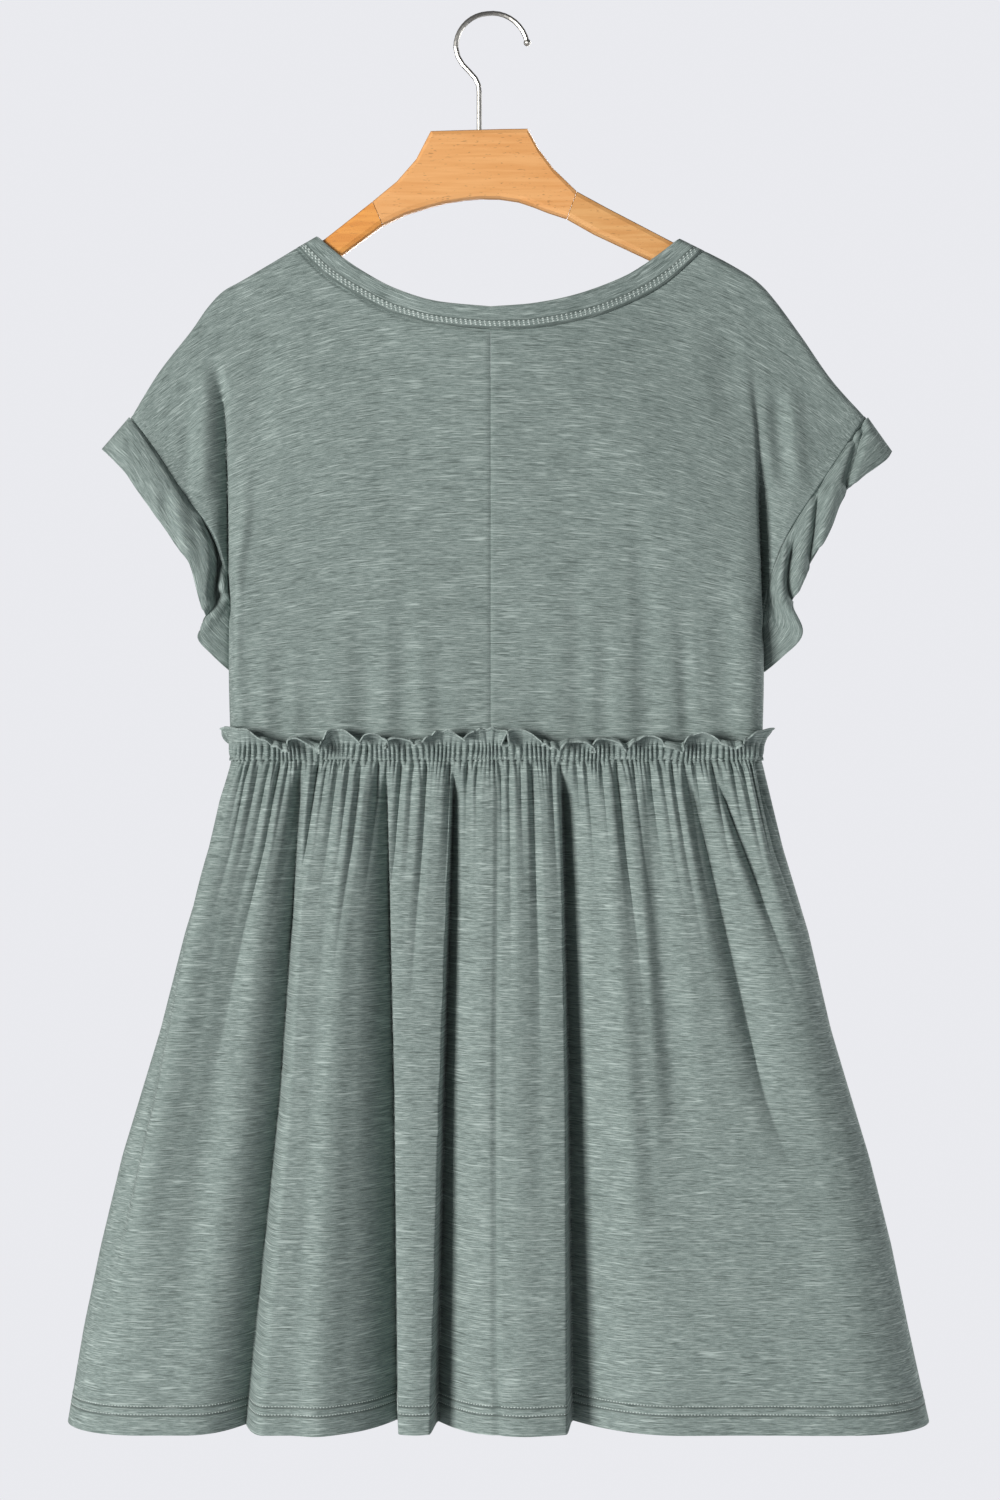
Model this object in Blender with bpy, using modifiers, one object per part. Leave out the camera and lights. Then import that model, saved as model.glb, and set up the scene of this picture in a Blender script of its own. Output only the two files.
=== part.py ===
"""T-shirt dress hanging on a wooden hanger, seen from the wearer's back along +Y.

Metres, +Z up. The origin is the inside of the hook's bend, where a rail carries it.
The dress's back faces -Y and its front faces +Y. X runs to the viewer's right.
"""
import bmesh
import bpy
from collections import namedtuple
from math import cos, hypot, pi, radians, sin, sqrt
from mathutils import Vector

MM = 0.001
OBJECT_NAME = "tshirt_dress_on_hanger"

# Walls and fits
WALL = 1.2 * MM
CUFF_WALL = 2.0 * MM
SEAM_GAP = 0.3 * MM
HALF_GAP = SEAM_GAP / 2
RIDGE_GAP = 0.35 * MM
SLEEVE_END_GAP = 0.7 * MM
WAIST_GAP = 0.5 * MM
BAND_GAP = 0.7 * MM
CUFF_GAP = 1.0 * MM
UNDERARM_GAP = 2.7 * MM

# Wooden hanger and wire hook
WOOD_HALF = 6.0 * MM
WOOD_ROUND = 4.0 * MM
ARM_CLEARANCE = 1.4 * MM
WIRE = 3.7 * MM
BALL = 5.4 * MM
BEND_RADIUS = 25.3 * MM
BEND_OPENING = 3.2 * MM
BEND_END = radians(7.0)
STEM_X = -7.7 * MM
STEM_TOP = -57.0 * MM
STEM_FOOT = -106.0 * MM
BORE_FOOT = -106.6 * MM

# Levels of the dress
WAIST_Z = -557.5 * MM
HEM_Z = -1051.5 * MM
CENTRE_X = 0.9 * MM
RIDGE_ROUND = 6.0 * MM
RIDGE_DEPTH = WOOD_HALF + ARM_CLEARANCE + WALL
BODY_FALL = 170.0 * MM
BACK_DEPTH = 25.0 * MM
FRONT_DEPTH = 23.0 * MM
WAIST_DEPTH = 22.0 * MM
WAIST_BLEND = 110.0 * MM
SIDE_ROUND = 13.0 * MM
ARMHOLE_DEPTH = 15.0 * MM
SLEEVE_SHARE = 0.6
CUFF_ROLL = 2.0 * MM
SLEEVE_FOLD_WIDTH = 16.0 * MM
FRONT_NECK_DROP = 45.0 * MM

# Skirt
BACK_HEM_DEPTH = 45.0 * MM
FRONT_HEM_DEPTH = 34.0 * MM
HEM_ROUND = 62.0 * MM
BACK_GATHERS = 32
FRONT_GATHERS = 28
COLUMNS_PER_GATHER = 4
GATHER_DEPTH = 2.4 * MM
GATHER_RISE = 16.0 * MM
GATHER_FADE = 150.0 * MM
FOLD_AT_WAIST = 0.3
FOLD_FADE = 120.0
SKIRT_ROWS = (0.0, 14.0, 36.0, 70.0, 120.0, 200.0, 300.0, 400.0, 494.0)

# Frill above the waist seam
FRILL_HEIGHT = 25.0 * MM
FRILL_FOOT = 2.0 * MM
FRILL_STAND = 2.2 * MM
FRILL_REACH = 11.0 * MM
FRILL_STEP = 5.2 * MM
FRONT_FRILL_WAVES = 14
FRONT_FRILL_HIGH = 21.0 * MM
FRONT_FRILL_LOW = 8.0 * MM

Point = namedtuple("Point", "x z")
Width = namedtuple("Width", "drop left right")
Fold = namedtuple("Fold", "waist_x middle_x hem_x depth width start end")
Cuff = namedtuple("Cuff", "seam_x seam_z free_x free_z flare")
Wave = namedtuple("Wave", "x rise")
Plank = namedtuple("Plank", "top_x top_z low_x low_z")

# The tables below are in millimetres and become metres in the functions that read them.
NECK_LEFT = (
    Point(-144.5, -174.2), Point(-125.6, -194.3), Point(-104.6, -208.9),
    Point(-73.1, -225.8), Point(-39.4, -235.2), Point(0.9, -239.6),
)
NECK_RIGHT = (
    Point(160.7, -176.3), Point(133.1, -201.8), Point(106.1, -217.5),
    Point(74.6, -230.0), Point(32.6, -238.4), Point(0.9, -239.6),
)
BAND_LEFT = (
    Point(-129.8, -165.8), Point(-109.9, -182.6), Point(-89.6, -196.5),
    Point(-68.6, -207.8), Point(-39.4, -217.5), Point(0.9, -222.3),
)
BAND_RIGHT = (
    Point(142.9, -167.5), Point(116.6, -187.6), Point(95.6, -200.0),
    Point(64.1, -212.3), Point(32.6, -219.5), Point(0.9, -222.3),
)
SHOULDER_LEFT = (
    Point(-144.5, -174.2), Point(-156.4, -181.5), Point(-185.6, -198.8), Point(-199.9, -207.0),
    Point(-211.9, -219.8), Point(-223.9, -237.0), Point(-247.9, -267.8), Point(-268.9, -302.0),
)
SHOULDER_RIGHT = (
    Point(160.7, -176.3), Point(179.6, -186.0), Point(199.9, -198.8), Point(214.1, -213.8),
    Point(234.4, -241.5), Point(256.9, -273.8), Point(282.4, -302.0),
)
SIDE_LEFT = (Point(-195.0, -438.0), Point(-195.2, -500.0), Point(-193.5, -557.5))
SIDE_RIGHT = (Point(205.5, -458.0), Point(205.5, -505.0), Point(204.0, -557.5))
SLEEVE_FOLD_LEFT = (Point(-206.0, -236.0), Point(-196.0, -345.0), Point(-193.0, -430.0))
SLEEVE_FOLD_RIGHT = (Point(206.0, -236.0), Point(202.0, -360.0), Point(203.5, -450.0))
CUFF_LEFT = (
    Cuff(-268.9, -302.0, -288.5, -325.0, 0.0), Cuff(-250.9, -327.0, -271.5, -344.0, 2.5),
    Cuff(-229.1, -360.4, -250.0, -375.0, 3.5), Cuff(-208.1, -388.5, -230.5, -402.0, 4.0),
    Cuff(-198.4, -416.3, -217.0, -436.0, 4.0), Cuff(-195.0, -438.0, -212.0, -472.0, 0.0),
)
CUFF_RIGHT = (
    Cuff(282.4, -302.0, 300.5, -327.0, 0.0), Cuff(254.6, -343.1, 272.0, -356.0, 3.0),
    Cuff(225.8, -386.3, 249.0, -394.0, 4.0), Cuff(213.0, -416.0, 233.0, -428.0, 4.5),
    Cuff(207.5, -440.0, 227.5, -455.0, 4.0), Cuff(205.5, -458.0, 224.0, -483.0, 0.0),
)
ARMHOLE_LEFT = tuple(Point(row.seam_x, row.seam_z) for row in CUFF_LEFT)
ARMHOLE_RIGHT = tuple(Point(row.seam_x, row.seam_z) for row in CUFF_RIGHT)
SKIRT_WIDTHS = (
    Width(0.0, -193.5, 204.0), Width(66.0, -208.5, 220.0), Width(129.0, -228.0, 239.0),
    Width(202.0, -246.5, 256.0), Width(296.0, -275.0, 284.0), Width(363.0, -291.0, 301.0),
    Width(423.0, -303.5, 313.5), Width(494.0, -315.5, 329.0),
)
BACK_FOLDS = (
    Fold(-136.0, -148.0, -178.0, 24.0, 30.0, 20.0, 494.0),
    Fold(-80.6, -79.0, -80.6, 30.0, 22.0, 10.0, 494.0),
    Fold(-27.0, -31.0, -34.0, 20.0, 26.0, 20.0, 494.0),
    Fold(53.0, 58.0, 57.0, 28.0, 24.0, 10.0, 494.0),
    Fold(117.0, 119.0, 121.0, 9.0, 24.0, 20.0, 330.0),
    Fold(149.0, 178.0, 214.0, 9.0, 24.0, 10.0, 400.0),
    Fold(182.0, 214.0, 250.0, 8.0, 22.0, 10.0, 260.0),
)
FRONT_FOLDS = (
    Fold(-142.0, -168.0, -200.0, 16.0, 34.0, 30.0, 494.0),
    Fold(-70.0, -84.0, -98.0, 20.0, 28.0, 20.0, 494.0),
    Fold(6.0, 2.0, -6.0, 17.0, 30.0, 20.0, 494.0),
    Fold(74.0, 86.0, 96.0, 21.0, 27.0, 20.0, 494.0),
    Fold(140.0, 168.0, 206.0, 15.0, 34.0, 30.0, 494.0),
)
FRILL_BACK = (
    Wave(-196.0, 25.0), Wave(-180.4, 22.0), Wave(-166.9, 14.0), Wave(-149.6, 5.0),
    Wave(-142.1, 15.0), Wave(-123.8, 4.0), Wave(-111.4, 22.0), Wave(-94.9, 11.0),
    Wave(-87.0, 18.0), Wave(-75.0, 7.5), Wave(-67.0, 15.0), Wave(-52.1, 9.0),
    Wave(-33.4, 21.0), Wave(-20.0, 13.0), Wave(-12.0, 20.0), Wave(5.0, 22.0),
    Wave(13.0, 10.0), Wave(22.0, 22.0), Wave(37.1, 11.0), Wave(49.5, 7.0),
    Wave(65.0, 13.0), Wave(76.0, 4.0), Wave(87.0, 15.0), Wave(99.0, 5.0),
    Wave(115.1, 17.0), Wave(131.0, 8.0), Wave(144.0, 7.0), Wave(156.0, 19.0),
    Wave(169.0, 10.0), Wave(186.0, 9.0), Wave(197.0, 21.0), Wave(206.0, 23.0),
)
CENTRE_BLOCK = (
    Plank(-87.6, -139.5, -79.9, -157.6), Plank(-69.4, -124.5, -61.9, -149.0),
    Plank(-55.0, -108.0, -44.0, -143.5), Plank(-48.4, -95.3, -32.0, -140.4),
    Plank(-44.0, -86.8, -18.0, -138.2), Plank(-14.0, -85.9, -6.0, -137.2),
    Plank(8.0, -85.3, 8.0, -137.5), Plank(28.6, -85.0, 22.0, -139.6),
    Plank(37.0, -100.5, 33.0, -143.3), Plank(48.0, -115.0, 44.0, -147.6),
    Plank(65.5, -132.0, 57.9, -152.2),
)
ARM_LEFT = (
    Plank(-87.9, -139.8, -80.2, -157.8), Plank(-124.0, -168.2, -113.5, -182.5),
    Plank(-144.5, -177.6, -135.0, -193.2), Plank(-156.4, -184.9, -147.0, -200.4),
    Plank(-185.6, -202.2, -176.5, -217.0), Plank(-195.0, -208.6, -186.5, -222.0),
    Plank(-200.5, -214.0, -194.5, -223.0),
)
ARM_RIGHT = (
    Plank(65.8, -132.2, 58.3, -152.4), Plank(87.4, -144.0, 78.5, -163.8),
    Plank(136.9, -169.8, 128.0, -187.0), Plank(160.7, -179.7, 152.5, -197.5),
    Plank(179.6, -189.5, 171.5, -206.0), Plank(199.0, -202.0, 190.5, -216.2),
    Plank(205.8, -207.5, 199.5, -218.5),
)

# Colours of the materials: linear RGB, roughness, metallic
JERSEY = ((0.20, 0.26, 0.22), 0.85, 0.0)
BEECH = ((0.78, 0.47, 0.22), 0.45, 0.0)
BEECH_ARM = ((0.80, 0.52, 0.27), 0.45, 0.0)
NICKEL = ((0.62, 0.61, 0.58), 0.28, 1.0)


def clear_scene():
    for thing in list(bpy.data.objects):
        bpy.data.objects.remove(thing, do_unlink=True)


def material(name, finish):
    color, roughness, metallic = finish
    made = bpy.data.materials.new(name)
    made.use_nodes = True
    shader = made.node_tree.nodes["Principled BSDF"]
    shader.inputs["Base Color"].default_value = (*color, 1.0)
    shader.inputs["Roughness"].default_value = roughness
    shader.inputs["Metallic"].default_value = metallic
    return made


def collection():
    made = bpy.data.collections.new(OBJECT_NAME)
    bpy.context.scene.collection.children.link(made)
    return made


def smooth(value):
    held = min(max(value, 0.0), 1.0)
    return held * held * (3.0 - 2.0 * held)


def quarter_arc(distance, radius):
    """Rise of a quarter circle: 0 at the edge and 1 from the radius inward."""
    short = 1.0 - min(max(distance / radius, 0.0), 1.0)
    return sqrt(max(0.0, 1.0 - short * short))


def along(rows, share):
    """A smooth curve through a table's rows: every column at the share of its length."""
    steps = [0.0]
    for before, after in zip(rows, rows[1:]):
        steps.append(steps[-1] + max(hypot(after[0] - before[0], after[1] - before[1]), 1e-9))
    place = min(max(share, 0.0), 1.0) * steps[-1]
    index = 0
    while index < len(rows) - 2 and steps[index + 1] < place:
        index += 1
    t = (place - steps[index]) / (steps[index + 1] - steps[index])
    first = rows[max(index - 1, 0)]
    start = rows[index]
    stop = rows[index + 1]
    last = rows[min(index + 2, len(rows) - 1)]
    values = []
    for a, b, c, d in zip(first, start, stop, last):
        bend = 2 * a - 5 * b + 4 * c - d
        twist = 3 * b - a - 3 * c + d
        values.append(b + 0.5 * t * ((c - a) + t * (bend + t * twist)))
    return values


def level(rows, key, value, wanted):
    """One column of a table, read where another column has the value, held at its ends."""
    for before, after in zip(rows, rows[1:]):
        a = getattr(before, key)
        b = getattr(after, key)
        if min(a, b) <= value <= max(a, b):
            t = (value - a) / (b - a)
            return getattr(before, wanted) * (1 - t) + getattr(after, wanted) * t
    nearest = min((rows[0], rows[-1]), key=lambda row: abs(value - getattr(row, key)))
    return getattr(nearest, wanted)


def distance_to(rows, x, z):
    """Shortest distance in millimetres from a place to a table's line."""
    best = 1e9
    for before, after in zip(rows, rows[1:]):
        dx = after.x - before.x
        dz = after.z - before.z
        t = ((x - before.x) * dx + (z - before.z) * dz) / (dx * dx + dz * dz)
        t = min(max(t, 0.0), 1.0)
        best = min(best, hypot(x - before.x - t * dx, z - before.z - t * dz))
    return best


def sheet(name, grid, wall, finish, home, closed=False):
    """A cloth wall: rows of points run down it, columns to the right as seen from outside."""
    rows = len(grid)
    columns = len(grid[0])
    points = [point for row in grid for point in row]
    last = columns if closed else columns - 1
    faces = []
    for j in range(rows - 1):
        for i in range(last):
            n = (i + 1) % columns
            faces.append((j * columns + i, (j + 1) * columns + i, (j + 1) * columns + n, j * columns + n))
    mesh = bpy.data.meshes.new(name)
    mesh.from_pydata(points, [], faces)
    mesh.materials.append(finish)
    made = bpy.data.objects.new(name, mesh)
    home.objects.link(made)
    solidify = made.modifiers.new("wall", "SOLIDIFY")
    solidify.thickness = wall
    solidify.offset = -1.0
    mesh.shade_smooth()
    return made


# Shares of the neckline from the shoulder to the centre, and of the whole top up to the neck
NECK_SHARE = 0.52
NECK_SHARES = (0.0, 0.02, 0.05, 0.15, 0.3, 0.45, 0.6, 0.8, 1.0)
SHOULDER_SHARES = (0.0, 0.008, 0.035, 0.09, 0.3, 0.5, 0.7, 0.86)

# Shares of the armhole from its top down, and of the whole outer edge down to the underarm
ARMHOLE_SHARE = 0.53
ARMHOLE_SHARES = (0.0, 0.006, 0.02, 0.05, 0.15, 0.3, 0.45, 0.6, 0.75, 0.88)
SIDE_ROWS = 6

HALF_COLUMNS = [(1 - NECK_SHARE) * share for share in SHOULDER_SHARES]
HALF_COLUMNS += [1 - NECK_SHARE + NECK_SHARE * share for share in NECK_SHARES]
BODICE_ROWS = [ARMHOLE_SHARE * share for share in ARMHOLE_SHARES]
BODICE_ROWS += [ARMHOLE_SHARE + (1 - ARMHOLE_SHARE) * k / SIDE_ROWS for k in range(SIDE_ROWS + 1)]


def armhole_depth(share):
    """Depth of the sleeve's open edge at a share of it, nothing at its two ends."""
    return ARMHOLE_DEPTH * max(sin(pi * min(share, 1.0)), 0.0) ** 0.6


class Side:
    """The lines of one half of the bodice, on the wearer's left or right."""

    def __init__(self, neck, shoulder, armhole, side, fold):
        self.neck = neck
        self.shoulder = shoulder
        self.armhole = armhole
        self.side = side
        self.fold = fold
        self.sign = -1.0 if shoulder[-1].x < 0 else 1.0

    def neckline(self, share, drop):
        """The neck seam from the shoulder to the centre, lowered towards the centre."""
        x, z = along(self.neck, share)
        return x, z - drop * smooth(share * 1.1) ** 0.8

    def top(self, share, drop):
        """From the sleeve's end up the shoulder, then down the neckline to the centre."""
        split = 1.0 - NECK_SHARE
        if share <= split:
            return along(self.shoulder, 1.0 - share / split)
        return self.neckline((share - split) / NECK_SHARE, drop)

    def outer(self, share):
        """From the sleeve's end down the armhole, then down the side to the waist."""
        if share <= ARMHOLE_SHARE:
            return along(self.armhole, share / ARMHOLE_SHARE)
        return along(self.side, (share - ARMHOLE_SHARE) / (1.0 - ARMHOLE_SHARE))

    def bottom(self, share):
        start = self.side[-1]
        return start.x + (CENTRE_X / MM - start.x) * share, start.z

    def inner(self, share, drop):
        top = self.neck[-1].z - drop
        return CENTRE_X / MM, top + (WAIST_Z / MM - top) * share

    def place(self, u, v, drop):
        """A place in the panel's outline, blended from its four edges."""
        top = self.top(u, drop)
        bottom = self.bottom(u)
        outer = self.outer(v)
        inner = self.inner(v, drop)
        corners = (self.top(0, drop), self.top(1, drop), self.bottom(0), self.bottom(1))
        values = []
        for k in range(2):
            ruled = (1 - v) * top[k] + v * bottom[k] + (1 - u) * outer[k] + u * inner[k]
            twist = (1 - u) * (1 - v) * corners[0][k] + u * (1 - v) * corners[1][k]
            twist += (1 - u) * v * corners[2][k] + u * v * corners[3][k]
            values.append(ruled - twist)
        return values

    def depth(self, x, z, v, fullness, folded):
        """How far the cloth lies from the middle plane, in metres."""
        ridge = distance_to(self.shoulder, x, z) * MM
        edge = min(distance_to(self.armhole, x, z), distance_to(self.side, x, z)) * MM
        body = RIDGE_DEPTH * quarter_arc(ridge, RIDGE_ROUND)
        body += (fullness - RIDGE_DEPTH) * smooth(ridge / BODY_FALL)
        near_waist = smooth(1.0 - (z * MM - WAIST_Z) / WAIST_BLEND)
        body += (WAIST_DEPTH - fullness) * near_waist
        if folded:
            body *= 1.0 - (1.0 - SLEEVE_SHARE) * self.beyond_fold(x, z)
        inside = quarter_arc(edge, SIDE_ROUND)
        opening = armhole_depth(v / ARMHOLE_SHARE) * quarter_arc(ridge, RIDGE_ROUND)
        return body * inside + opening * (1.0 - inside)

    def beyond_fold(self, x, z):
        """1 on the sleeve's side of the fold that runs down from the shoulder, else 0."""
        line = level(self.fold, "z", z, "x")
        past = self.sign * (x - line) * MM / SLEEVE_FOLD_WIDTH + 0.5
        begins = smooth((self.fold[0].z - z) / 50.0)
        ends = 1.0 - smooth((self.fold[-1].z - z) / 20.0)
        return smooth(past) * begins * ends


LEFT = Side(NECK_LEFT, SHOULDER_LEFT, ARMHOLE_LEFT, SIDE_LEFT, SLEEVE_FOLD_LEFT)
RIGHT = Side(NECK_RIGHT, SHOULDER_RIGHT, ARMHOLE_RIGHT, SIDE_RIGHT, SLEEVE_FOLD_RIGHT)


def panel_point(side, u, v, drop, fullness, towards, folded):
    x, z = side.place(u, v, drop)
    end = side.shoulder[-1]
    clear = RIDGE_GAP + SLEEVE_END_GAP * max(1.0 - hypot(x - end.x, z - end.z) / 8.0, 0.0)
    y = max(side.depth(x, z, v, fullness, folded), clear)
    return Vector((x * MM, towards * y, z * MM))


def back_half(name, side, finish, home):
    """One half of the back, from its outer edge to the centre seam."""
    grid = []
    for v in BODICE_ROWS:
        row = [panel_point(side, u, v, 0.0, BACK_DEPTH, -1.0, True) for u in HALF_COLUMNS]
        row[-1].y = row[-2].y
        row[-1].x += HALF_GAP * side.sign
        grid.append(row if side.sign < 0 else row[::-1])
    return sheet(name, grid, WALL, finish, home)


def front_panel(name, finish, home):
    """The front in one piece, with the lower neckline."""
    drop = FRONT_NECK_DROP / MM
    grid = []
    for v in BODICE_ROWS:
        right = [panel_point(RIGHT, u, v, drop, FRONT_DEPTH, 1.0, False) for u in HALF_COLUMNS]
        left = [panel_point(LEFT, u, v, drop, FRONT_DEPTH, 1.0, False) for u in HALF_COLUMNS]
        grid.append(right + left[-2::-1])
    return sheet(name, grid, WALL, finish, home)


def band_point(side, free, share, across, drop, towards):
    """A place on the neck band: across runs from the free edge to the seam."""
    seam_x, seam_z = side.neckline(share, drop)
    free_x, free_z = along(free, share)
    free_z -= drop * smooth(share * 1.1) ** 0.8
    span = hypot(seam_x - free_x, seam_z - free_z)
    held = across * (span - BAND_GAP / MM) / span
    x = free_x + (seam_x - free_x) * held
    z = free_z + (seam_z - free_z) * held
    fullness = BACK_DEPTH if towards < 0 else FRONT_DEPTH
    ridge = along_distance(side, share)
    body = RIDGE_DEPTH * quarter_arc(ridge, RIDGE_ROUND)
    body += (fullness - RIDGE_DEPTH) * smooth(ridge / BODY_FALL)
    return Vector((x * MM, towards * body, z * MM))


def along_distance(side, share):
    """Distance from the shoulder ridge to a place on the neckline, in metres."""
    x, z = along(side.neck, share)
    return distance_to(side.shoulder, x, z) * MM


def neck_band(name, finish, home):
    """The band round the neck, a closed ring."""
    drop = FRONT_NECK_DROP / MM
    grid = []
    for across in (0.0, 0.5, 1.0):
        back_left = [band_point(LEFT, BAND_LEFT, s, across, 0.0, -1.0) for s in NECK_SHARES]
        back_right = [band_point(RIGHT, BAND_RIGHT, s, across, 0.0, -1.0) for s in NECK_SHARES]
        front_left = [band_point(LEFT, BAND_LEFT, s, across, drop, 1.0) for s in NECK_SHARES]
        front_right = [band_point(RIGHT, BAND_RIGHT, s, across, drop, 1.0) for s in NECK_SHARES]
        ring = back_left + back_right[-2::-1] + front_right[1:] + front_left[-2:0:-1]
        grid.append(ring)
    return sheet(name, grid, WALL, finish, home, closed=True)


def cuff_point(rows, share, across, towards):
    """A place on a cuff: across runs from its seam to its free edge."""
    seam_x, seam_z, free_x, free_z, flare = along(rows, share)
    span = hypot(free_x - seam_x, free_z - seam_z)
    gap = (CUFF_GAP + UNDERARM_GAP * smooth((share - 0.7) / 0.3)) / MM
    held = (across * (span - gap) + gap) / span
    x = seam_x + (free_x - seam_x) * held
    z = seam_z + (free_z - seam_z) * held
    rolled = CUFF_ROLL * sin(pi * across) * smooth(8 * min(share, 1 - share))
    y = armhole_depth(share) + flare * held * MM + rolled
    return Vector((x * MM, towards * y, z * MM))


def cuff(name, rows, finish, home):
    """A turned-up sleeve end, a closed ring round the arm's opening."""
    shares = list(ARMHOLE_SHARES) + [1.0]
    grid = []
    for across in (0.0, 0.33, 0.67, 1.0):
        back = [cuff_point(rows, share, across, -1.0) for share in shares]
        front = [cuff_point(rows, share, across, 1.0) for share in shares]
        ring = back + front[-2:0:-1]
        grid.append(ring if rows[0].seam_x > 0 else ring[::-1])
    return sheet(name, grid, CUFF_WALL, finish, home, closed=True)


def section_point(share, left, right, depth, corner, out=0.0):
    """A place on half a flattened ring, from its left end to its right, and its outward lean."""
    arc = pi / 2 * sqrt((corner * corner + depth * depth) / 2)
    flat = right - left - 2 * corner
    place = share * (2 * arc + flat)
    if place < arc:
        angle = pi / 2 * place / arc
        x = left + corner * (1 - cos(angle))
        y = depth * sin(angle)
        lean = Vector((-cos(angle), sin(angle)))
    elif place > arc + flat:
        angle = pi / 2 * (2 * arc + flat - place) / arc
        x = right - corner * (1 - cos(angle))
        y = depth * sin(angle)
        lean = Vector((cos(angle), sin(angle)))
    else:
        x = left + corner + place - arc
        y = depth
        lean = Vector((0.0, 1.0))
    return x + lean.x * out, y + lean.y * out, lean


def skirt_size(drop, hem_depth):
    """Left, right, depth and corner of the skirt at a drop below the waist."""
    share = drop / (WAIST_Z - HEM_Z)
    left = level(SKIRT_WIDTHS, "drop", drop / MM, "left") * MM
    right = level(SKIRT_WIDTHS, "drop", drop / MM, "right") * MM
    depth = WAIST_DEPTH + (hem_depth - WAIST_DEPTH) * share
    corner = SIDE_ROUND + (HEM_ROUND - SIDE_ROUND) * share
    return left, right, depth, corner


def fold_depth(folds, x, drop):
    """How far the folds take the cloth inward at a place on the skirt."""
    length = (WAIST_Z - HEM_Z) / MM
    total = 0.0
    for fold in folds:
        half = length / 2
        if drop < half:
            centre = fold.waist_x + (fold.middle_x - fold.waist_x) * drop / half
        else:
            centre = fold.middle_x + (fold.hem_x - fold.middle_x) * (drop - half) / half
        grown = FOLD_AT_WAIST * smooth((drop - fold.start) / 30.0) + (1 - FOLD_AT_WAIST) * drop / length
        gone = 1.0 if fold.end >= length else 1.0 - smooth((drop - fold.end) / FOLD_FADE + 1.0)
        away = abs(x - centre) / (fold.width * (0.6 + 0.4 * drop / length))
        if away < 1.0:
            total += fold.depth * grown * gone * (0.5 + 0.5 * cos(pi * away))
    return total * MM


def gather_depth(share, drop, gathers):
    """The small waves below the waist seam, which fade as the skirt falls."""
    size = smooth(drop / GATHER_RISE) * (1.0 - smooth((drop - GATHER_RISE) / GATHER_FADE))
    return GATHER_DEPTH * size * cos(2 * pi * gathers * share)


def skirt_point(share, drop, back):
    hem_depth = BACK_HEM_DEPTH if back else FRONT_HEM_DEPTH
    folds = BACK_FOLDS if back else FRONT_FOLDS
    gathers = BACK_GATHERS if back else FRONT_GATHERS
    left, right, depth, corner = skirt_size(drop, hem_depth)
    x, y, lean = section_point(share, left, right, depth, corner)
    inward = fold_depth(folds, x / MM, drop / MM) * smooth(y / depth)
    ends = smooth(min(share, 1.0 - share) * 30.0)
    out = gather_depth(share, drop, gathers) * ends - inward
    x += lean.x * out
    y = max(y + lean.y * out, HALF_GAP)
    return Vector((x, -y if back else y, WAIST_Z - WAIST_GAP - drop))


def skirt_panel(name, start, stop, back, finish, home):
    """A skirt panel between two shares of the way round, left to right from outside."""
    gathers = BACK_GATHERS if back else FRONT_GATHERS
    count = round((stop - start) * gathers * COLUMNS_PER_GATHER)
    grid = []
    for row in SKIRT_ROWS:
        shares = [start + (stop - start) * k / count for k in range(count + 1)]
        points = [skirt_point(share, row * MM, back) for share in shares]
        if start > 0.0:
            points[0].y = points[1].y
            points[0].x += HALF_GAP
        if stop < 1.0:
            points[-1].y = points[-2].y
            points[-1].x -= HALF_GAP
        grid.append(points if back else points[::-1])
    return sheet(name, grid, WALL, finish, home)


def frill_rise(share, x, back):
    """Height of the frill's free edge above the waist seam."""
    if back:
        return level(FRILL_BACK, "x", x / MM, "rise") * MM
    wave = 0.5 + 0.5 * cos(2 * pi * FRONT_FRILL_WAVES * share)
    uneven = 0.8 + 0.2 * sin(9.0 * share + 1.0)
    return FRONT_FRILL_LOW + (FRONT_FRILL_HIGH - FRONT_FRILL_LOW) * wave * uneven


def frill_ring(across, back, count):
    ring = []
    for k in range(count):
        share = (k + 0.5) / count
        x, y, lean = section_point(share, SKIRT_WIDTHS[0].left * MM, SKIRT_WIDTHS[0].right * MM,
                                   WAIST_DEPTH, SIDE_ROUND)
        rise = frill_rise(share, x, back)
        tipped = sqrt(max(0.0, 1.0 - (rise / FRILL_HEIGHT) ** 2))
        out = WALL + SEAM_GAP + FRILL_STAND * 0.4 + FRILL_STAND * across
        out += FRILL_REACH * tipped * across * (0.5 + 0.5 * across)
        z = WAIST_Z + FRILL_FOOT + (rise - FRILL_FOOT) * across * (1.25 - 0.25 * across)
        y = y + lean.y * out
        ring.append(Vector((x + lean.x * out, -y if back else y, z)))
    return ring if back else ring[::-1]


def frill(name, finish, home):
    """The gathered heading that stands over the waist seam, a closed ring."""
    width = (SKIRT_WIDTHS[0].right - SKIRT_WIDTHS[0].left) * MM
    count = round(width / FRILL_STEP)
    grid = []
    for across in (1.0, 0.5, 0.0):
        grid.append(frill_ring(across, True, count) + frill_ring(across, False, count))
    return sheet(name, grid, WALL, finish, home, closed=True)


def plank_ring(row, half):
    """A rounded section of the hanger between its top and lower edge."""
    down = Vector((row.low_x - row.top_x, 0.0, row.low_z - row.top_z)) * MM
    height = down.length
    down.normalize()
    top = Vector((row.top_x * MM, 0.0, row.top_z * MM))
    corners = ((-1.0, 0.0, -1.0), (1.0, 0.0, 0.0), (1.0, height, 90.0), (-1.0, height, 180.0))
    ring = []
    for turn, (side, at, start) in enumerate(corners):
        centre_y = side * (half - WOOD_ROUND)
        centre_down = at + (WOOD_ROUND if at == 0.0 else -WOOD_ROUND)
        for step in (0.0, 45.0, 90.0):
            angle = radians(180.0 + 90.0 * turn + step)
            across = centre_y + WOOD_ROUND * cos(angle)
            deep = centre_down + WOOD_ROUND * sin(angle)
            ring.append(top + down * deep + Vector((0.0, across, 0.0)))
    return ring


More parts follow.
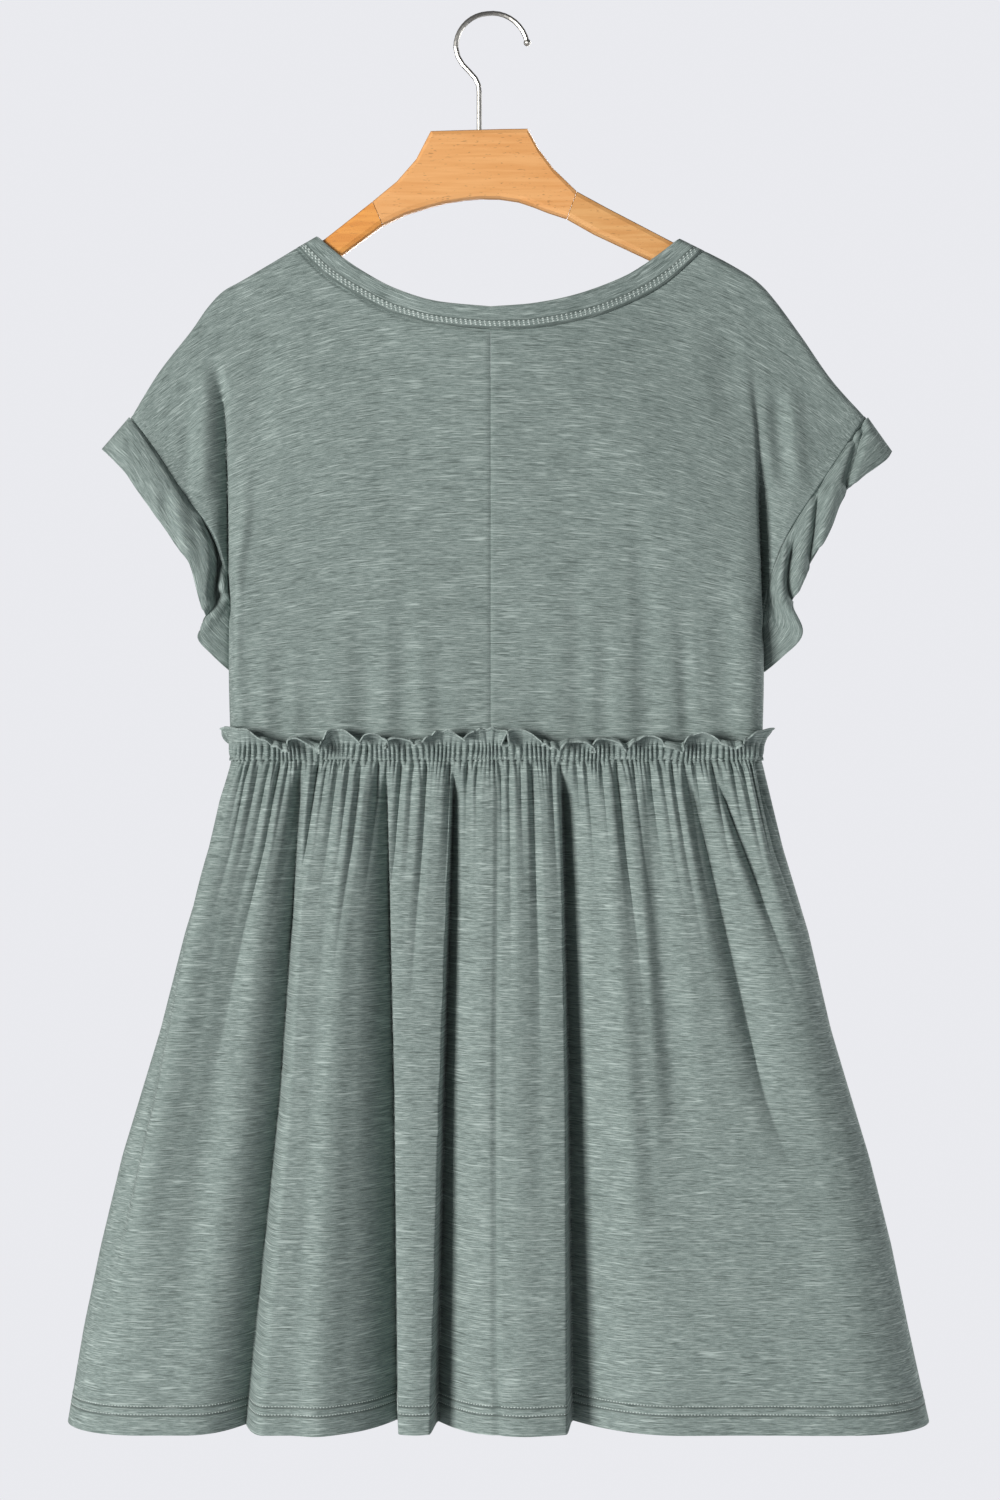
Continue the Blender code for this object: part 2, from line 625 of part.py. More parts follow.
def plank(name, rows, finish, home):
    """A piece of the wooden hanger: rounded sections from left to right, ends closed."""
    rings = [plank_ring(row, WOOD_HALF) for row in rows]
    size = len(rings[0])
    points = [point for ring in rings for point in ring]
    faces = [tuple(range(size))]
    for j in range(len(rings) - 1):
        for i in range(size):
            n = (i + 1) % size
            faces.append((j * size + i, (j + 1) * size + i, (j + 1) * size + n, j * size + n))
    faces.append(tuple(reversed(range((len(rings) - 1) * size, len(rings) * size))))
    if rows[0].top_x > rows[-1].top_x:
        faces = [face[::-1] for face in faces]
    mesh = bpy.data.meshes.new(name)
    mesh.from_pydata(points, [], faces)
    mesh.materials.append(finish)
    made = bpy.data.objects.new(name, mesh)
    home.objects.link(made)
    return made


def hook_route():
    """The wire's centreline: up the stem, out to the left, and over the bend to the tip."""
    centre = Vector((0.0, 0.0, WIRE / 2 - BEND_RADIUS))
    route = [Vector((STEM_X, 0.0, STEM_FOOT)), Vector((STEM_X, 0.0, STEM_TOP))]
    neck = ((-8.2, -52.0), (-10.6, -46.8), (-15.2, -41.6), (-20.0, -36.6), (-23.6, -30.6))
    route += [Vector((x * MM, 0.0, z * MM)) for x, z in neck]
    turns = 18
    for k in range(turns + 1):
        share = k / turns
        angle = pi + (BEND_END - pi) * share
        radius = BEND_RADIUS + BEND_OPENING * max(share - 0.5, 0.0) * 2
        route.append(centre + Vector((cos(angle) * radius, 0.0, sin(angle) * radius)))
    return route


def hook(name, finish, home):
    """The wire hook, one tube with a ball on its tip."""
    route = hook_route()
    data = bpy.data.curves.new(name, "CURVE")
    data.dimensions = "3D"
    data.bevel_depth = WIRE / 2
    data.bevel_resolution = 2
    data.use_fill_caps = True
    line = data.splines.new("POLY")
    line.points.add(len(route) - 1)
    for spot, place in zip(line.points, route):
        spot.co = (*place, 1.0)
    tube = bpy.data.objects.new(name + "_wire", data)
    home.objects.link(tube)
    bpy.context.view_layer.update()
    ready = tube.evaluated_get(bpy.context.evaluated_depsgraph_get())
    mesh = bpy.data.meshes.new_from_object(ready)
    bpy.data.objects.remove(tube, do_unlink=True)
    welded = bmesh.new()
    welded.from_mesh(mesh)
    bmesh.ops.remove_doubles(welded, verts=welded.verts, dist=0.00001)
    welded.to_mesh(mesh)
    welded.free()
    mesh.materials.clear()
    mesh.materials.append(finish)
    made = bpy.data.objects.new(name, mesh)
    home.objects.link(made)
    bpy.ops.mesh.primitive_uv_sphere_add(segments=12, ring_count=8, radius=BALL / 2, location=route[-1])
    ball = bpy.context.object
    ball.name = name + "_ball"
    join = made.modifiers.new("ball", "BOOLEAN")
    join.operation = "UNION"
    join.object = ball
    ball.hide_render = True
    ball.display_type = "WIRE"
    return made, ball


def hook_bore(block, cutters):
    """The blind hole in the wood that the wire is screwed into."""
    length = 40.0 * MM
    bpy.ops.mesh.primitive_cylinder_add(vertices=16, radius=WIRE / 2 + SEAM_GAP, depth=length,
                                        location=(STEM_X, 0.0, BORE_FOOT + length / 2))
    bore = bpy.context.object
    bore.name = "hook_bore_cutter"
    bore.hide_render = True
    bore.display_type = "WIRE"
    cut = block.modifiers.new("bore", "BOOLEAN")
    cut.operation = "DIFFERENCE"
    cut.object = bore
    file_with(bore, cutters)


def file_with(thing, cutters):
    for home in list(thing.users_collection):
        home.objects.unlink(thing)
    cutters.objects.link(thing)


def main():
    clear_scene()
    home = collection()
    cutters = bpy.data.collections.new("cutters")
    bpy.context.scene.collection.children.link(cutters)
    cloth = {
        name: material(name, JERSEY)
        for name in ("bodice_cloth", "skirt_cloth", "band_cloth", "cuff_cloth", "frill_cloth")
    }
    beech = material("hanger_centre_wood", BEECH)
    arm_wood = material("hanger_arm_wood", BEECH_ARM)
    nickel = material("hook_metal", NICKEL)

    back_half("bodice_back_left", LEFT, cloth["bodice_cloth"], home)
    back_half("bodice_back_right", RIGHT, cloth["bodice_cloth"], home)
    front_panel("bodice_front", cloth["bodice_cloth"], home)
    neck_band("neck_band", cloth["band_cloth"], home)
    cuff("cuff_left", CUFF_LEFT, cloth["cuff_cloth"], home)
    cuff("cuff_right", CUFF_RIGHT, cloth["cuff_cloth"], home)
    frill("waist_frill", cloth["frill_cloth"], home)
    skirt_panel("skirt_back_left", 0.0, 0.5, True, cloth["skirt_cloth"], home)
    skirt_panel("skirt_back_right", 0.5, 1.0, True, cloth["skirt_cloth"], home)
    skirt_panel("skirt_front", 0.0, 1.0, False, cloth["skirt_cloth"], home)

    centre = plank("hanger_centre", CENTRE_BLOCK, beech, home)
    plank("hanger_arm_left", ARM_LEFT, arm_wood, home)
    plank("hanger_arm_right", ARM_RIGHT, arm_wood, home)
    hook_bore(centre, cutters)
    made, ball = hook("hook", nickel, home)
    file_with(ball, cutters)


main()
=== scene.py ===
from collections import namedtuple
from math import hypot, pi, radians, sin

import bmesh
import bpy
import numpy as np
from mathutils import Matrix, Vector


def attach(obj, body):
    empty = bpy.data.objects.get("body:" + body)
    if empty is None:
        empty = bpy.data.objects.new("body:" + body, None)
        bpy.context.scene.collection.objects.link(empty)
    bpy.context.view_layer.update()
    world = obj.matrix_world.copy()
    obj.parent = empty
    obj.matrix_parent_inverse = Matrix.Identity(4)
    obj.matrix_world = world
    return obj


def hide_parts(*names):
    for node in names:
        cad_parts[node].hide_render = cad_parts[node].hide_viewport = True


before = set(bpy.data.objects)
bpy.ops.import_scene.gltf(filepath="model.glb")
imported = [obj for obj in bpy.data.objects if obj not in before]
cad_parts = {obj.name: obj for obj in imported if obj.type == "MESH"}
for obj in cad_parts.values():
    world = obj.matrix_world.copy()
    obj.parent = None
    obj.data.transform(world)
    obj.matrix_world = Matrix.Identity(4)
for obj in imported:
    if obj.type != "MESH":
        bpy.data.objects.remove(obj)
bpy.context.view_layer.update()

# A grey-green slub jersey dress on a beech hanger, seen from the wearer's back along +Y.
# Metres, +Z up, the origin inside the hook's bend. Tables are in millimetres.
MM = 0.001

# The photo's frame: its size in pixels, the size of one in metres, and the origin's place. Then
# the camera's distance, its sensor's height in millimetres and how far it sees.
PHOTO_WIDTH = 1000
PHOTO_HEIGHT = 1500
PIXEL = 0.75 * MM
ORIGIN_PIXEL = (489.5, 16.0)
CAMERA_AWAY = 1.8
SENSOR = 36.0
FARTHEST = 50.0

# Colours of the yarn, of each piece of the hanger (light and deep grain) and of the studio
JERSEY_BASE = (0.190, 0.241, 0.228, 1.0)
JERSEY_BASE_TOO = (0.207, 0.261, 0.247, 1.0)
JERSEY_PALE = (0.48, 0.565, 0.54, 1.0)
JERSEY_DARK = (0.078, 0.106, 0.098, 1.0)
CENTRE_BEECH = ((0.97, 0.500, 0.195, 1.0), (0.87, 0.405, 0.135, 1.0))
LEFT_BEECH = ((0.97, 0.435, 0.110, 1.0), (0.83, 0.335, 0.078, 1.0))
RIGHT_BEECH = ((0.89, 0.475, 0.180, 1.0), (0.79, 0.380, 0.126, 1.0))
BEECH_FLECKS = (0.40, 0.19, 0.07, 1.0)
NICKEL = (0.60, 0.585, 0.55, 1.0)
NICKEL_DULL = (0.48, 0.465, 0.435, 1.0)
# Painted shadow: a dark colour laid in thin lines along stitched rows, where their grooves would shade
# the cloth
PAINTED_SEAM_SHADOW = (0.050, 0.068, 0.062, 1.0)
THREAD = (0.55, 0.63, 0.60, 1.0)
THREAD_PALE = (0.68, 0.76, 0.73, 1.0)
FLOOR_PAINT = (0.76, 0.77, 0.80, 1.0)
SURROUND = (0.82, 0.825, 0.86, 1.0)
SURROUND_LIGHT = (0.97, 0.98, 1.0, 1.0)

# The studio: its floor, the even light, and lights as name, place, size, power and colour, all
# aimed at the middle of the dress
FLOOR_Z = -1.62
FLOOR_SIZE = 2.4
AMBIENT = 0.10
LIT_MIDDLE = Vector((0.0, 0.0, -0.6))
LIGHTS = (
    ("key", (-3.5, -3.8, -0.5), 1.8, 281.0, (1.0, 0.99, 0.97)),
    ("fill", (2.4, -2.2, -0.3), 2.0, 9.0, (0.96, 0.98, 1.0)),
    ("far_fill", (2.6, 0.9, -0.4), 1.6, 34.0, (1.0, 1.0, 1.0)),
    ("rear", (1.2, 4.2, 0.3), 2.4, 170.0, (1.0, 0.99, 0.97)),
)

# Thickness of the cloth, and the gap between the waist and the skirt's first row
WALL = 1.0 * MM
CUFF_WALL = 1.8 * MM
BAND_WALL = 1.2 * MM
FRILL_WALL = 0.9 * MM
SEAM_GAP = 0.3 * MM

# Levels and depths of the dress, as in the solids
WAIST_Z = -557.5 * MM
HEM_Z = -1051.5 * MM
CENTRE_X = 0.9 * MM
RIDGE_ROUND = 6.0 * MM
RIDGE_DEPTH = 8.6 * MM
BODY_FALL = 170.0 * MM
BODY_EDGE_SHARE = 0.24
BODY_EDGE_ROUND = 16.0
BACK_DEPTH = 25.0 * MM
FRONT_DEPTH = 23.0 * MM
WAIST_DEPTH = 22.0 * MM
WAIST_BLEND = 110.0 * MM
SIDE_ROUND = 13.0 * MM
ARMHOLE_DEPTH = 15.0 * MM
FRONT_NECK_DROP = 45.0 * MM
BACK_HEM_DEPTH = 45.0 * MM
FRONT_HEM_DEPTH = 34.0 * MM
HEM_ROUND = 62.0 * MM

# What the tables' columns hold
Point = namedtuple("Point", "x z")
Width = namedtuple("Width", "drop left right")
Fold = namedtuple("Fold", "waist_x middle_x hem_x depth core left_width right_width at_waist end")
Gather = namedtuple("Gather", "x depth width reach")
Crease = namedtuple("Crease", "depth width fade path")
WaistCrease = namedtuple("WaistCrease", "depth width top_x top_z foot_x")
Cuff = namedtuple("Cuff", "share free_x free_z flare")
Wave = namedtuple("Wave", "x rise")


def table(kind, *rows):
    """Rows with named columns."""
    return tuple(kind(*row) for row in rows)


def to_waist(rows):
    """Creases that run down to the waist and fade far up."""
    return tuple(Crease(row.depth, row.width, 90, ((row.top_x, row.top_z), (row.foot_x, -556)))
                 for row in rows)


# Outlines of the bodice's halves and the free edges of the band and the cuffs, from the photo
NECK_LEFT = table(Point,
    (-144.5, -174.2), (-125.6, -194.3), (-104.6, -208.9), (-73.1, -225.8), (-39.4, -235.2),
    (0.9, -239.6),
)
NECK_RIGHT = table(Point,
    (160.7, -176.3), (133.1, -201.8), (106.1, -217.5), (74.6, -230), (32.6, -238.4), (0.9, -239.6),
)
BAND_LEFT = table(Point,
    (-129.8, -165.8), (-109.9, -182.6), (-89.6, -196.5), (-68.6, -207.8), (-39.4, -217.5),
    (0.9, -222.3),
)
BAND_RIGHT = table(Point,
    (142.9, -167.5), (116.6, -187.6), (95.6, -200), (64.1, -212.3), (32.6, -219.5), (0.9, -222.3),
)
SHOULDER_LEFT = table(Point,
    (-144.5, -174.2), (-156.4, -181.5), (-185.6, -198.8), (-199.9, -207), (-211.9, -219.8),
    (-223.9, -237), (-247.9, -267.8), (-268.9, -302),
)
SHOULDER_RIGHT = table(Point,
    (160.7, -176.3), (179.6, -186), (199.9, -198.8), (214.1, -213.8), (234.4, -241.5), (256.9, -273.8),
    (282.4, -302),
)
SIDE_LEFT = table(Point, (-195, -438), (-195.2, -500), (-193.5, -557.5))
SIDE_RIGHT = table(Point, (205.5, -458), (205.5, -505), (204, -557.5))
SLEEVE_FOLD_LEFT = table(Point,
    (-209, -246), (-199.5, -275), (-196.5, -305), (-195, -350), (-194.2, -420), (-193.5, -445),
)
SLEEVE_FOLD_RIGHT = table(Point,
    (190, -246), (193.5, -262), (197.5, -300), (199.5, -334), (201.5, -392), (204, -463),
)
ARMHOLE_LEFT = table(Point,
    (-268.9, -302), (-250.9, -327), (-229.1, -360.4), (-208.1, -388.5), (-198.4, -416.3), (-195, -438),
)
ARMHOLE_RIGHT = table(Point,
    (282.4, -302), (254.6, -343.1), (225.8, -386.3), (213, -416), (207.5, -440), (205.5, -458),
)
CUFF_LEFT = table(Cuff,
    (0, -289.5, -326, 0), (0.10, -272, -341, 2), (0.20, -262, -355.5, 2.5), (0.33, -250, -372, 3),
    (0.46, -238.5, -388.5, 3.5), (0.58, -228.5, -402, 4), (0.68, -221.5, -412.5, 4),
    (0.78, -216, -434, 4), (0.88, -212.3, -453.5, 3), (0.94, -218, -466.5, 2), (0.975, -207, -480, 1),
    (1, -195.3, -491, 0),
)
CUFF_RIGHT = table(Cuff,
    (0, 300.5, -327.5, 0), (0.08, 294, -334.5, 1.5), (0.18, 280, -344.2, 2.5), (0.28, 267.5, -355.5, 3),
    (0.38, 259.5, -367.5, 3.5), (0.48, 253, -384, 4), (0.58, 244.5, -401, 4), (0.68, 236, -417.5, 4.5),
    (0.78, 229.5, -432, 4.5), (0.86, 224.8, -445, 4), (0.93, 233, -464.5, 3), (0.97, 219, -481, 1),
    (1, 206.5, -492, 0),
)

# The skirt's left and right edges at drops below the waist
SKIRT_WIDTHS = table(Width,
    (0, -193.5, 204), (66, -208.5, 220), (129, -228, 239), (202, -246.5, 256), (296, -275, 284),
    (363, -291, 301), (423, -303.5, 313.5), (494, -315.5, 329),
)

# Main folds of the skirt's back and front: where each runs, how deep it is, the width up to which
# a side is a steep wall (wider ones roll, and with none both sides are a soft bump), how wide each
# side is at the hem, its share of depth at the waist, and the drop where it ends. A negative depth
# is a crest.
BACK_FOLDS = table(Fold,
    (-139.6, -156, -181, 31, 10, 46, 17, 0.46, 900),
    (-77, -71.5, -69, 43.5, 19, 62, 2.6, 0.46, 900),
    (-26, -33, -38, 38, 18, 6, 52, 0.46, 900),
    (54.5, 60, 62.5, 40, 18, 6, 84, 0.48, 900),
    (116, 137, 152, 7, 0, 22, 34, 0.80, 330),
    (146, 203, 290, 13, 6, 34, 50, 0.90, 320),
    (164, 256, 360, 11, 4, 20, 30, 0.90, 190),
    (201.6, 272.5, 343, 21, 3, 2.4, 16, 1.00, 156),
    (-194, -240, -295, -7.5, 0, 12, 32, 0.90, 430),
    (-201, -254, -310, 4.5, 0, 14, 13, 0.90, 430),
    (-107, -118, -128, -4, 0, 20, 26, 0.60, 900),
    (20, 22, 26, -3, 0, 24, 24, 0.50, 900),
    (86, 102, 116, -4, 0, 20, 20, 0.60, 420),
    (-166, -204, -240, 4, 0, 26, 28, 0.50, 460),
)
FRONT_FOLDS = table(Fold,
    (-142, -168, -200, 19, 8, 46, 18, 0.40, 900),
    (-70, -84, -98, 24, 12, 40, 12, 0.45, 900),
    (6, 2, -6, 22, 10, 38, 14, 0.40, 900),
    (74, 86, 96, 25, 12, 12, 46, 0.45, 900),
    (140, 168, 206, 18, 8, 18, 46, 0.40, 900),
    (-104, -124, -150, 7, 0, 22, 30, 0.80, 360),
    (40, 46, 50, 7, 0, 22, 30, 0.80, 320),
    (182, 220, 270, 7, 0, 18, 28, 0.80, 300),
)

# Small gathers below the waist, each a trough at its place on the waist seam
BACK_GATHERS = table(Gather,
    (-188.8, 2.6, 3.2, 55), (-182.6, 2.2, 2.8, 40), (-178, 2.4, 3, 75), (-170.3, 3, 3.8, 60),
    (-163.1, 3.2, 3.8, 70), (-155.3, 4.6, 4.2, 135), (-148.9, 2.6, 3.4, 50), (-139.6, 4.4, 4, 70),
    (-126.8, 5.2, 4.4, 120), (-120.4, 2.4, 3.4, 45), (-111.8, 3.2, 4, 70), (-103.3, 3.2, 3.8, 80),
    (-94.9, 3.4, 4, 110), (-81.9, 5, 4.4, 60), (-76.1, 2.6, 3.2, 45), (-64.9, 4.2, 4.2, 100),
    (-56.3, 2.8, 3.8, 60), (-46.3, 3.8, 4.2, 125), (-42, 2, 2.8, 35), (-29.2, 4.6, 4.4, 70),
    (-16.4, 4.2, 4.2, 95), (-9.4, 2.6, 3.6, 55), (8.6, 3, 3.8, 60), (14.2, 3.2, 3.6, 110),
    (22.9, 2.8, 3.8, 50), (31.5, 5, 4.4, 140), (45.7, 3, 4, 70), (52, 5, 4.2, 80), (64.6, 2.8, 3.8, 60),
    (71.6, 3, 3.8, 80), (82.7, 3.2, 4.2, 60), (93.8, 4.6, 4.6, 120), (106.2, 3.2, 4.2, 70),
    (118.1, 3.6, 4.2, 70), (126.8, 3, 3.8, 75), (134.6, 3.2, 3.8, 90), (144.2, 3.6, 4.2, 80),
    (152, 3.4, 3.8, 70), (164.6, 3.4, 4.2, 75), (171, 2.4, 3.2, 45), (178.8, 3.4, 4, 90),
    (186.7, 3.2, 3.8, 70), (194, 3.6, 3.6, 80), (200, 6.5, 4.6, 95),
)

# Gathers of the hidden front, which are spread evenly
FRONT_GATHER_COUNT = 44
FRONT_GATHER_DEPTH = 3.4
FRONT_GATHER_WIDTH = 3.9
FRONT_GATHER_REACH = 80.0

# Soft creases of the bodice: depth, width, how far they fade at an end, and the path, or only the
# top and the foot of those that run to the waist. Troughs have a positive depth, crests a negative.
BACK_WAIST_CREASES = table(WaistCrease,
    (1.2, 10, -176, -440, -177), (-1, 10, -167, -430, -167), (1.4, 11, -155, -430, -156),
    (1.5, 10, -135, -440, -134), (-1.4, 11, -112, -420, -111), (1.6, 10, -93, -410, -91),
    (-1, 10, -77, -430, -77), (1.6, 11, -63, -400, -63), (-1, 10, -49, -440, -49),
    (1.1, 10, -37, -445, -36), (0.9, 10, -18, -470, -18), (0.9, 11, 33, -460, 35),
    (-1, 11, 50, -430, 51), (1.5, 10, 62, -360, 68), (1.9, 8, 85, -425, 84), (-1.2, 10, 100, -430, 100),
    (-1.1, 10, 133, -400, 134), (2, 7.5, 140, -430, 149), (1.6, 10, 170, -400, 175),
)
BACK_CREASES = table(Crease,
    (-3, 7, 70, ((-180, -330), (-183, -385), (-189, -430), (-191, -500))),
    (1.9, 10, 90, ((108, -345), (114, -450), (117, -556))),
    (-1.2, 10, 90, ((186, -360), (190, -540))),
    (3.2, 8, 22, ((213, -275), (219, -348))),
    (-2, 9, 24, ((225, -275), (229, -350))),
    (-4, 11, 26, ((-213, -258), (-212, -300), (-214, -355))),
    (2.2, 9, 24, ((-226, -290), (-222, -345))),
    (2, 15, 50, ((-163, -215), (-176, -330))),
    (2, 15, 40, ((172, -215), (180, -300))),
) + to_waist(BACK_WAIST_CREASES)
FRONT_WAIST_CREASES = table(WaistCrease,
    (1.5, 11, -150, -430, -152), (-1.1, 11, -128, -440, -128), (1.4, 10, -108, -445, -108),
    (1.6, 11, -70, -400, -70), (-1.1, 11, -48, -440, -48), (1.1, 11, -26, -450, -26),
    (1.4, 11, 22, -430, 22), (-1, 11, 42, -440, 42), (1.5, 10, 60, -450, 62), (1.7, 11, 104, -400, 106),
    (1.5, 11, 150, -430, 154),
)
FRONT_CREASES = table(Crease,
    (1.9, 10, 90, ((-186, -320), (-188, -455))),
    (1.9, 10, 90, ((194, -320), (197, -455))),
    (2.6, 14, 40, ((-168, -225), (-180, -320))),
    (2.6, 14, 40, ((176, -225), (186, -320))),
) + to_waist(FRONT_WAIST_CREASES)

# Creases that run over the turned-up cuffs
CUFF_CREASES_LEFT = table(Crease,
    (-2.4, 7, 14, ((-233, -352), (-228.4, -381.8), (-222, -413))),
    (2, 6, 14, ((-242.5, -352), (-238.5, -380), (-232, -402))),
    (17, 5.5, 9, ((-213, -374), (-204.5, -395), (-202.8, -415.2), (-205.5, -436))),
    (-5.5, 3.4, 5, ((-199.5, -411), (-200.5, -428), (-195, -438))),
    (-6, 3.6, 4, ((-194.5, -435), (-213, -459.5))),
    (9, 4, 4, ((-197.5, -430), (-206, -444), (-217, -458))),
    (-1.6, 5, 14, ((-277, -305), (-273, -328), (-265, -345))),
    (2.6, 5, 14, ((-285, -310), (-280.5, -330), (-272.5, -347))),
)
CUFF_CREASES_RIGHT = table(Crease,
    (7, 3.4, 10, ((281.6, -304.5), (277, -320), (272.6, -334), (264.4, -358))),
    (5, 2.6, 10, ((275, -313), (269.5, -331), (262.5, -352))),
    (7.5, 4.4, 24, ((255, -345), (247, -358), (243.4, -372), (241.1, -390), (236.6, -417))),
    (-2.6, 5, 24, ((262, -345), (254, -362), (249, -380), (245, -402))),
    (-5, 4.2, 24, (
        (226, -386), (219.4, -402), (216.4, -420.8), (217.1, -433.5), (223.9, -444.8), (232.9, -464.3),
    )),
    (7, 5, 20, ((231, -386), (225, -402), (222, -423), (224, -438), (229, -446))),
    (5, 4, 12, ((212, -428), (212, -447), (220, -463))),
)

# The frill's free edge at the back: its rise over the waist
FRILL_BACK = table(Wave,
    (-196, 25), (-180.4, 22), (-166.9, 14), (-149.6, 5), (-142.1, 15), (-123.8, 4), (-111.4, 22),
    (-94.9, 11), (-87, 18), (-75, 7.5), (-67, 15), (-52.1, 9), (-33.4, 21), (-20, 13), (-12, 20),
    (5, 22), (13, 10), (22, 22), (37.1, 11), (49.5, 7), (65, 13), (76, 4), (87, 15), (99, 5),
    (115.1, 17), (131, 8), (144, 7), (156, 19), (169, 10), (186, 9), (197, 21), (206, 23),
)
FRONT_FRILL_WAVES = 14

# The frill: the height of its cloth and of its ruched band, the pleats' pitch and the grooves'
# depth in millimetres, the rows of faces along its free edge that carry a painted highlight, and its
# columns of points
FRILL_HEIGHT = 25.0
FRILL_BAND = 8.5
PLEAT_PITCH = 3.7
RUCHE_DEPTH = 4.0
EDGE_ROWS = 2
FRILL_BACK_COLUMNS = 1100
FRILL_FRONT_COLUMNS = 760

# The frill's shape in millimetres: the foot's place at a groove, its drop between grooves and how
# far in it is, how far the band bulges, how much lower it is where the frill is low, the ripple of
# the free cloth outward and upward, how far it sways of itself and with the slope of its edge, and
# the groove and the thickness of its sewn edge
FOOT_HIGH = 0.4
FOOT_DROP = 1.9
FOOT_IN = 0.3
BAND_BULGE = 2.9
BAND_LOSS = 4.0
RIPPLE_OUT = 1.9
RIPPLE_UP = 0.9
SWAY = 2.2
SWAY_OF_SLOPE = 2.9
EDGE_GROOVE = 0.8
EDGE_PROUD = 0.35

# The skirt's columns of points, and its rows as drops below the waist: first, last and how many
SKIRT_COLUMNS = 330
SKIRT_BACK_ROWS = ((0.0, 12.0, 12), (15.0, 130.0, 38), (136.0, 468.0, 54))
SKIRT_FRONT_ROWS = ((0.0, 12.0, 8), (16.0, 130.0, 22), (138.0, 466.0, 28))

# The skirt's rows of points at the hem, its two rows of stitches, how far the hem stands proud and
# the stitches dip it, how far under each row a painted shadow line lies and how wide it is, and the
# waist's place in the skirt's cut
HEM_ROWS = (470.5, 471.7, 473.0, 474.3, 476.0, 477.7, 479.0, 480.3, 484.0, 489.0, 494.0)
HEM_STITCHES = (473.0, 479.0)
HEM_PROUD = 0.7 * MM
HEM_DIP = 0.5 * MM
SHADOW_BELOW_STITCH = 0.9
SHADOW_LINE_WIDTH = 1.1 * MM
SKIRT_CUT_TOP = -0.5

# The neck band: its width, how far its stitches stand out, the gap at its seam in millimetres, and
# the places of its stitches and of the painted shadow lines beside them as shares of the width
BAND_WIDTH = 17.5 * MM
BAND_STITCH_OUT = 0.85 * MM
BAND_GAP = 0.3
BAND_STITCHES = (0.68, 0.76, 0.84)
BAND_SHADOW_LINES = (0.66, 0.95)

# The band's points round the neck, as for the bodice's grids, and its profile: places across as
# shares of its width, and how far it stands out there in millimetres. The last tuck in its seam.
BAND_SHARES = (80, 10, 0.06)
BAND_PROFILE = (
    (0.0, 0.0), (0.03, 0.5), (0.10, 0.8), (0.2, 0.8), (0.35, 0.7), (0.5, 0.55), (0.58, 0.6), (0.66, 0.9),
    (0.74, 0.6), (0.82, 0.5), (0.9, 0.75), (0.97, 0.6), (1.0, -0.1), (1.01, -1.5), (1.05, -2.9),
)

# Folds: the power of a wide side's roll, and beside a narrow side the share of the depth that
# rolls on past it and how much farther it goes. Gathers: a factor on their depth and their power.
# The cut at the hem is wider than the hem by the allowance.
FOLD_ROLL = 2.4
EDGE_ROLL = 0.11
EDGE_ROLL_WIDTH = 15.0
GATHER_SHARE = 1.3
GATHER_ROLL = 1.6
FOLD_ALLOWANCE = 110.0

# A fold starts within the onset below the waist and fades over the last part of its length; at the
# waist its sides have a share of their width. A gather widens by a share on its reach. The skirt's
# ruching fades over its reach, and its first row is tucked in below the frill.
FOLD_ONSET = 30.0
FOLD_FADE = 140.0
FOLD_WAIST_SHARE = 0.42
GATHER_ONSET = 7.0
GATHER_WIDENS = 0.35
RUCHE_REACH = 9.0
TUCK_DEPTH = 2.0
TUCK_REACH = 2.2

# Depth of the grooves along the seams of the back's centre, of the neck and of the skirt's centre
# in metres, those of the armhole with its width in millimetres, half the slit between two panels,
# and how far the shoulder seam opens at the sleeve's end
CENTRE_DIP = 0.8 * MM
NECK_DIP = 1.2 * MM
SKIRT_DIP = 1.2 * MM
SEAM_DIP = 2.6
SEAM_WIDTH = 2.4
SEAM_CLEAR = 0.02 * MM
SLEEVE_CLEAR = 0.7 * MM

# The cuffs in millimetres: the slit at their seam, how far it opens at the underarm, and how far
# they stand out between their edges
CUFF_GAP = 0.05
CUFF_GAP_UNDERARM = 2.0
CUFF_ROLL = 3.4

# The bodice's swells and creases fade toward the shoulder's ridge and toward the outer edges: over
# how many millimetres each. A crease is wider at its mouth than its width by the spread.
SWELL_BELOW_RIDGE = 40.0
SWELL_INSIDE_EDGE = 14.0
CREASE_BELOW_RIDGE = 25.0
CREASE_INSIDE_EDGE = 9.0
CREASE_SPREAD = 1.3

# How far the cloth swells unevenly: the bodice in metres and the skirt in millimetres
BODICE_SWELL = 0.9 * MM
SKIRT_SWELL = 1.3

# Grids of the bodice's halves: how many shares across or down, how many of them are fine, and where
# those end. The back's outer part has its own and takes a share, and the rest is even.
BACK_OUTER = (74, 12, 0.06)
BACK_OUTER_SHARE = 0.33
BACK_INNER = (0.335, 1.0, 60)
BACK_DOWN = (150, 12, 0.045)
FRONT_ACROSS = (84, 10, 0.06)
FRONT_DOWN = (120, 10, 0.045)
CUFF_COLUMNS = 150
CUFF_ROWS = ((0.0, 0.09, 5), (0.12, 1.0, 29))

# Stitches in metres: how high they stand, how far their lower side is sunk, and then for the neck
# band and the hem their pitch, length, width and the shift from one row to the next
STITCH_HEIGHT = 0.4 * MM
STITCH_SUNK = 0.1 * MM
BAND_STITCH = (3.6 * MM, 2.2 * MM, 1.3 * MM, 1.8 * MM)
HEM_STITCH = (2.4 * MM, 1.7 * MM, 1.0 * MM, 1.2 * MM)
SMOOTH_ANGLE = 55.0

# The skirt panels' cuts, laid flat: width, length and area.
SKIRT_BACK_CUT = (0.40, 0.52)
SKIRT_BACK_AREA = 0.175
SKIRT_FRONT_CUT = (0.80, 0.52)
SKIRT_FRONT_AREA = 0.35

# A bodice half's outer edge and top edge: how much the armhole and the neck take of them
NECK_SHARE = 0.52
ARMHOLE_SHARE = 0.53

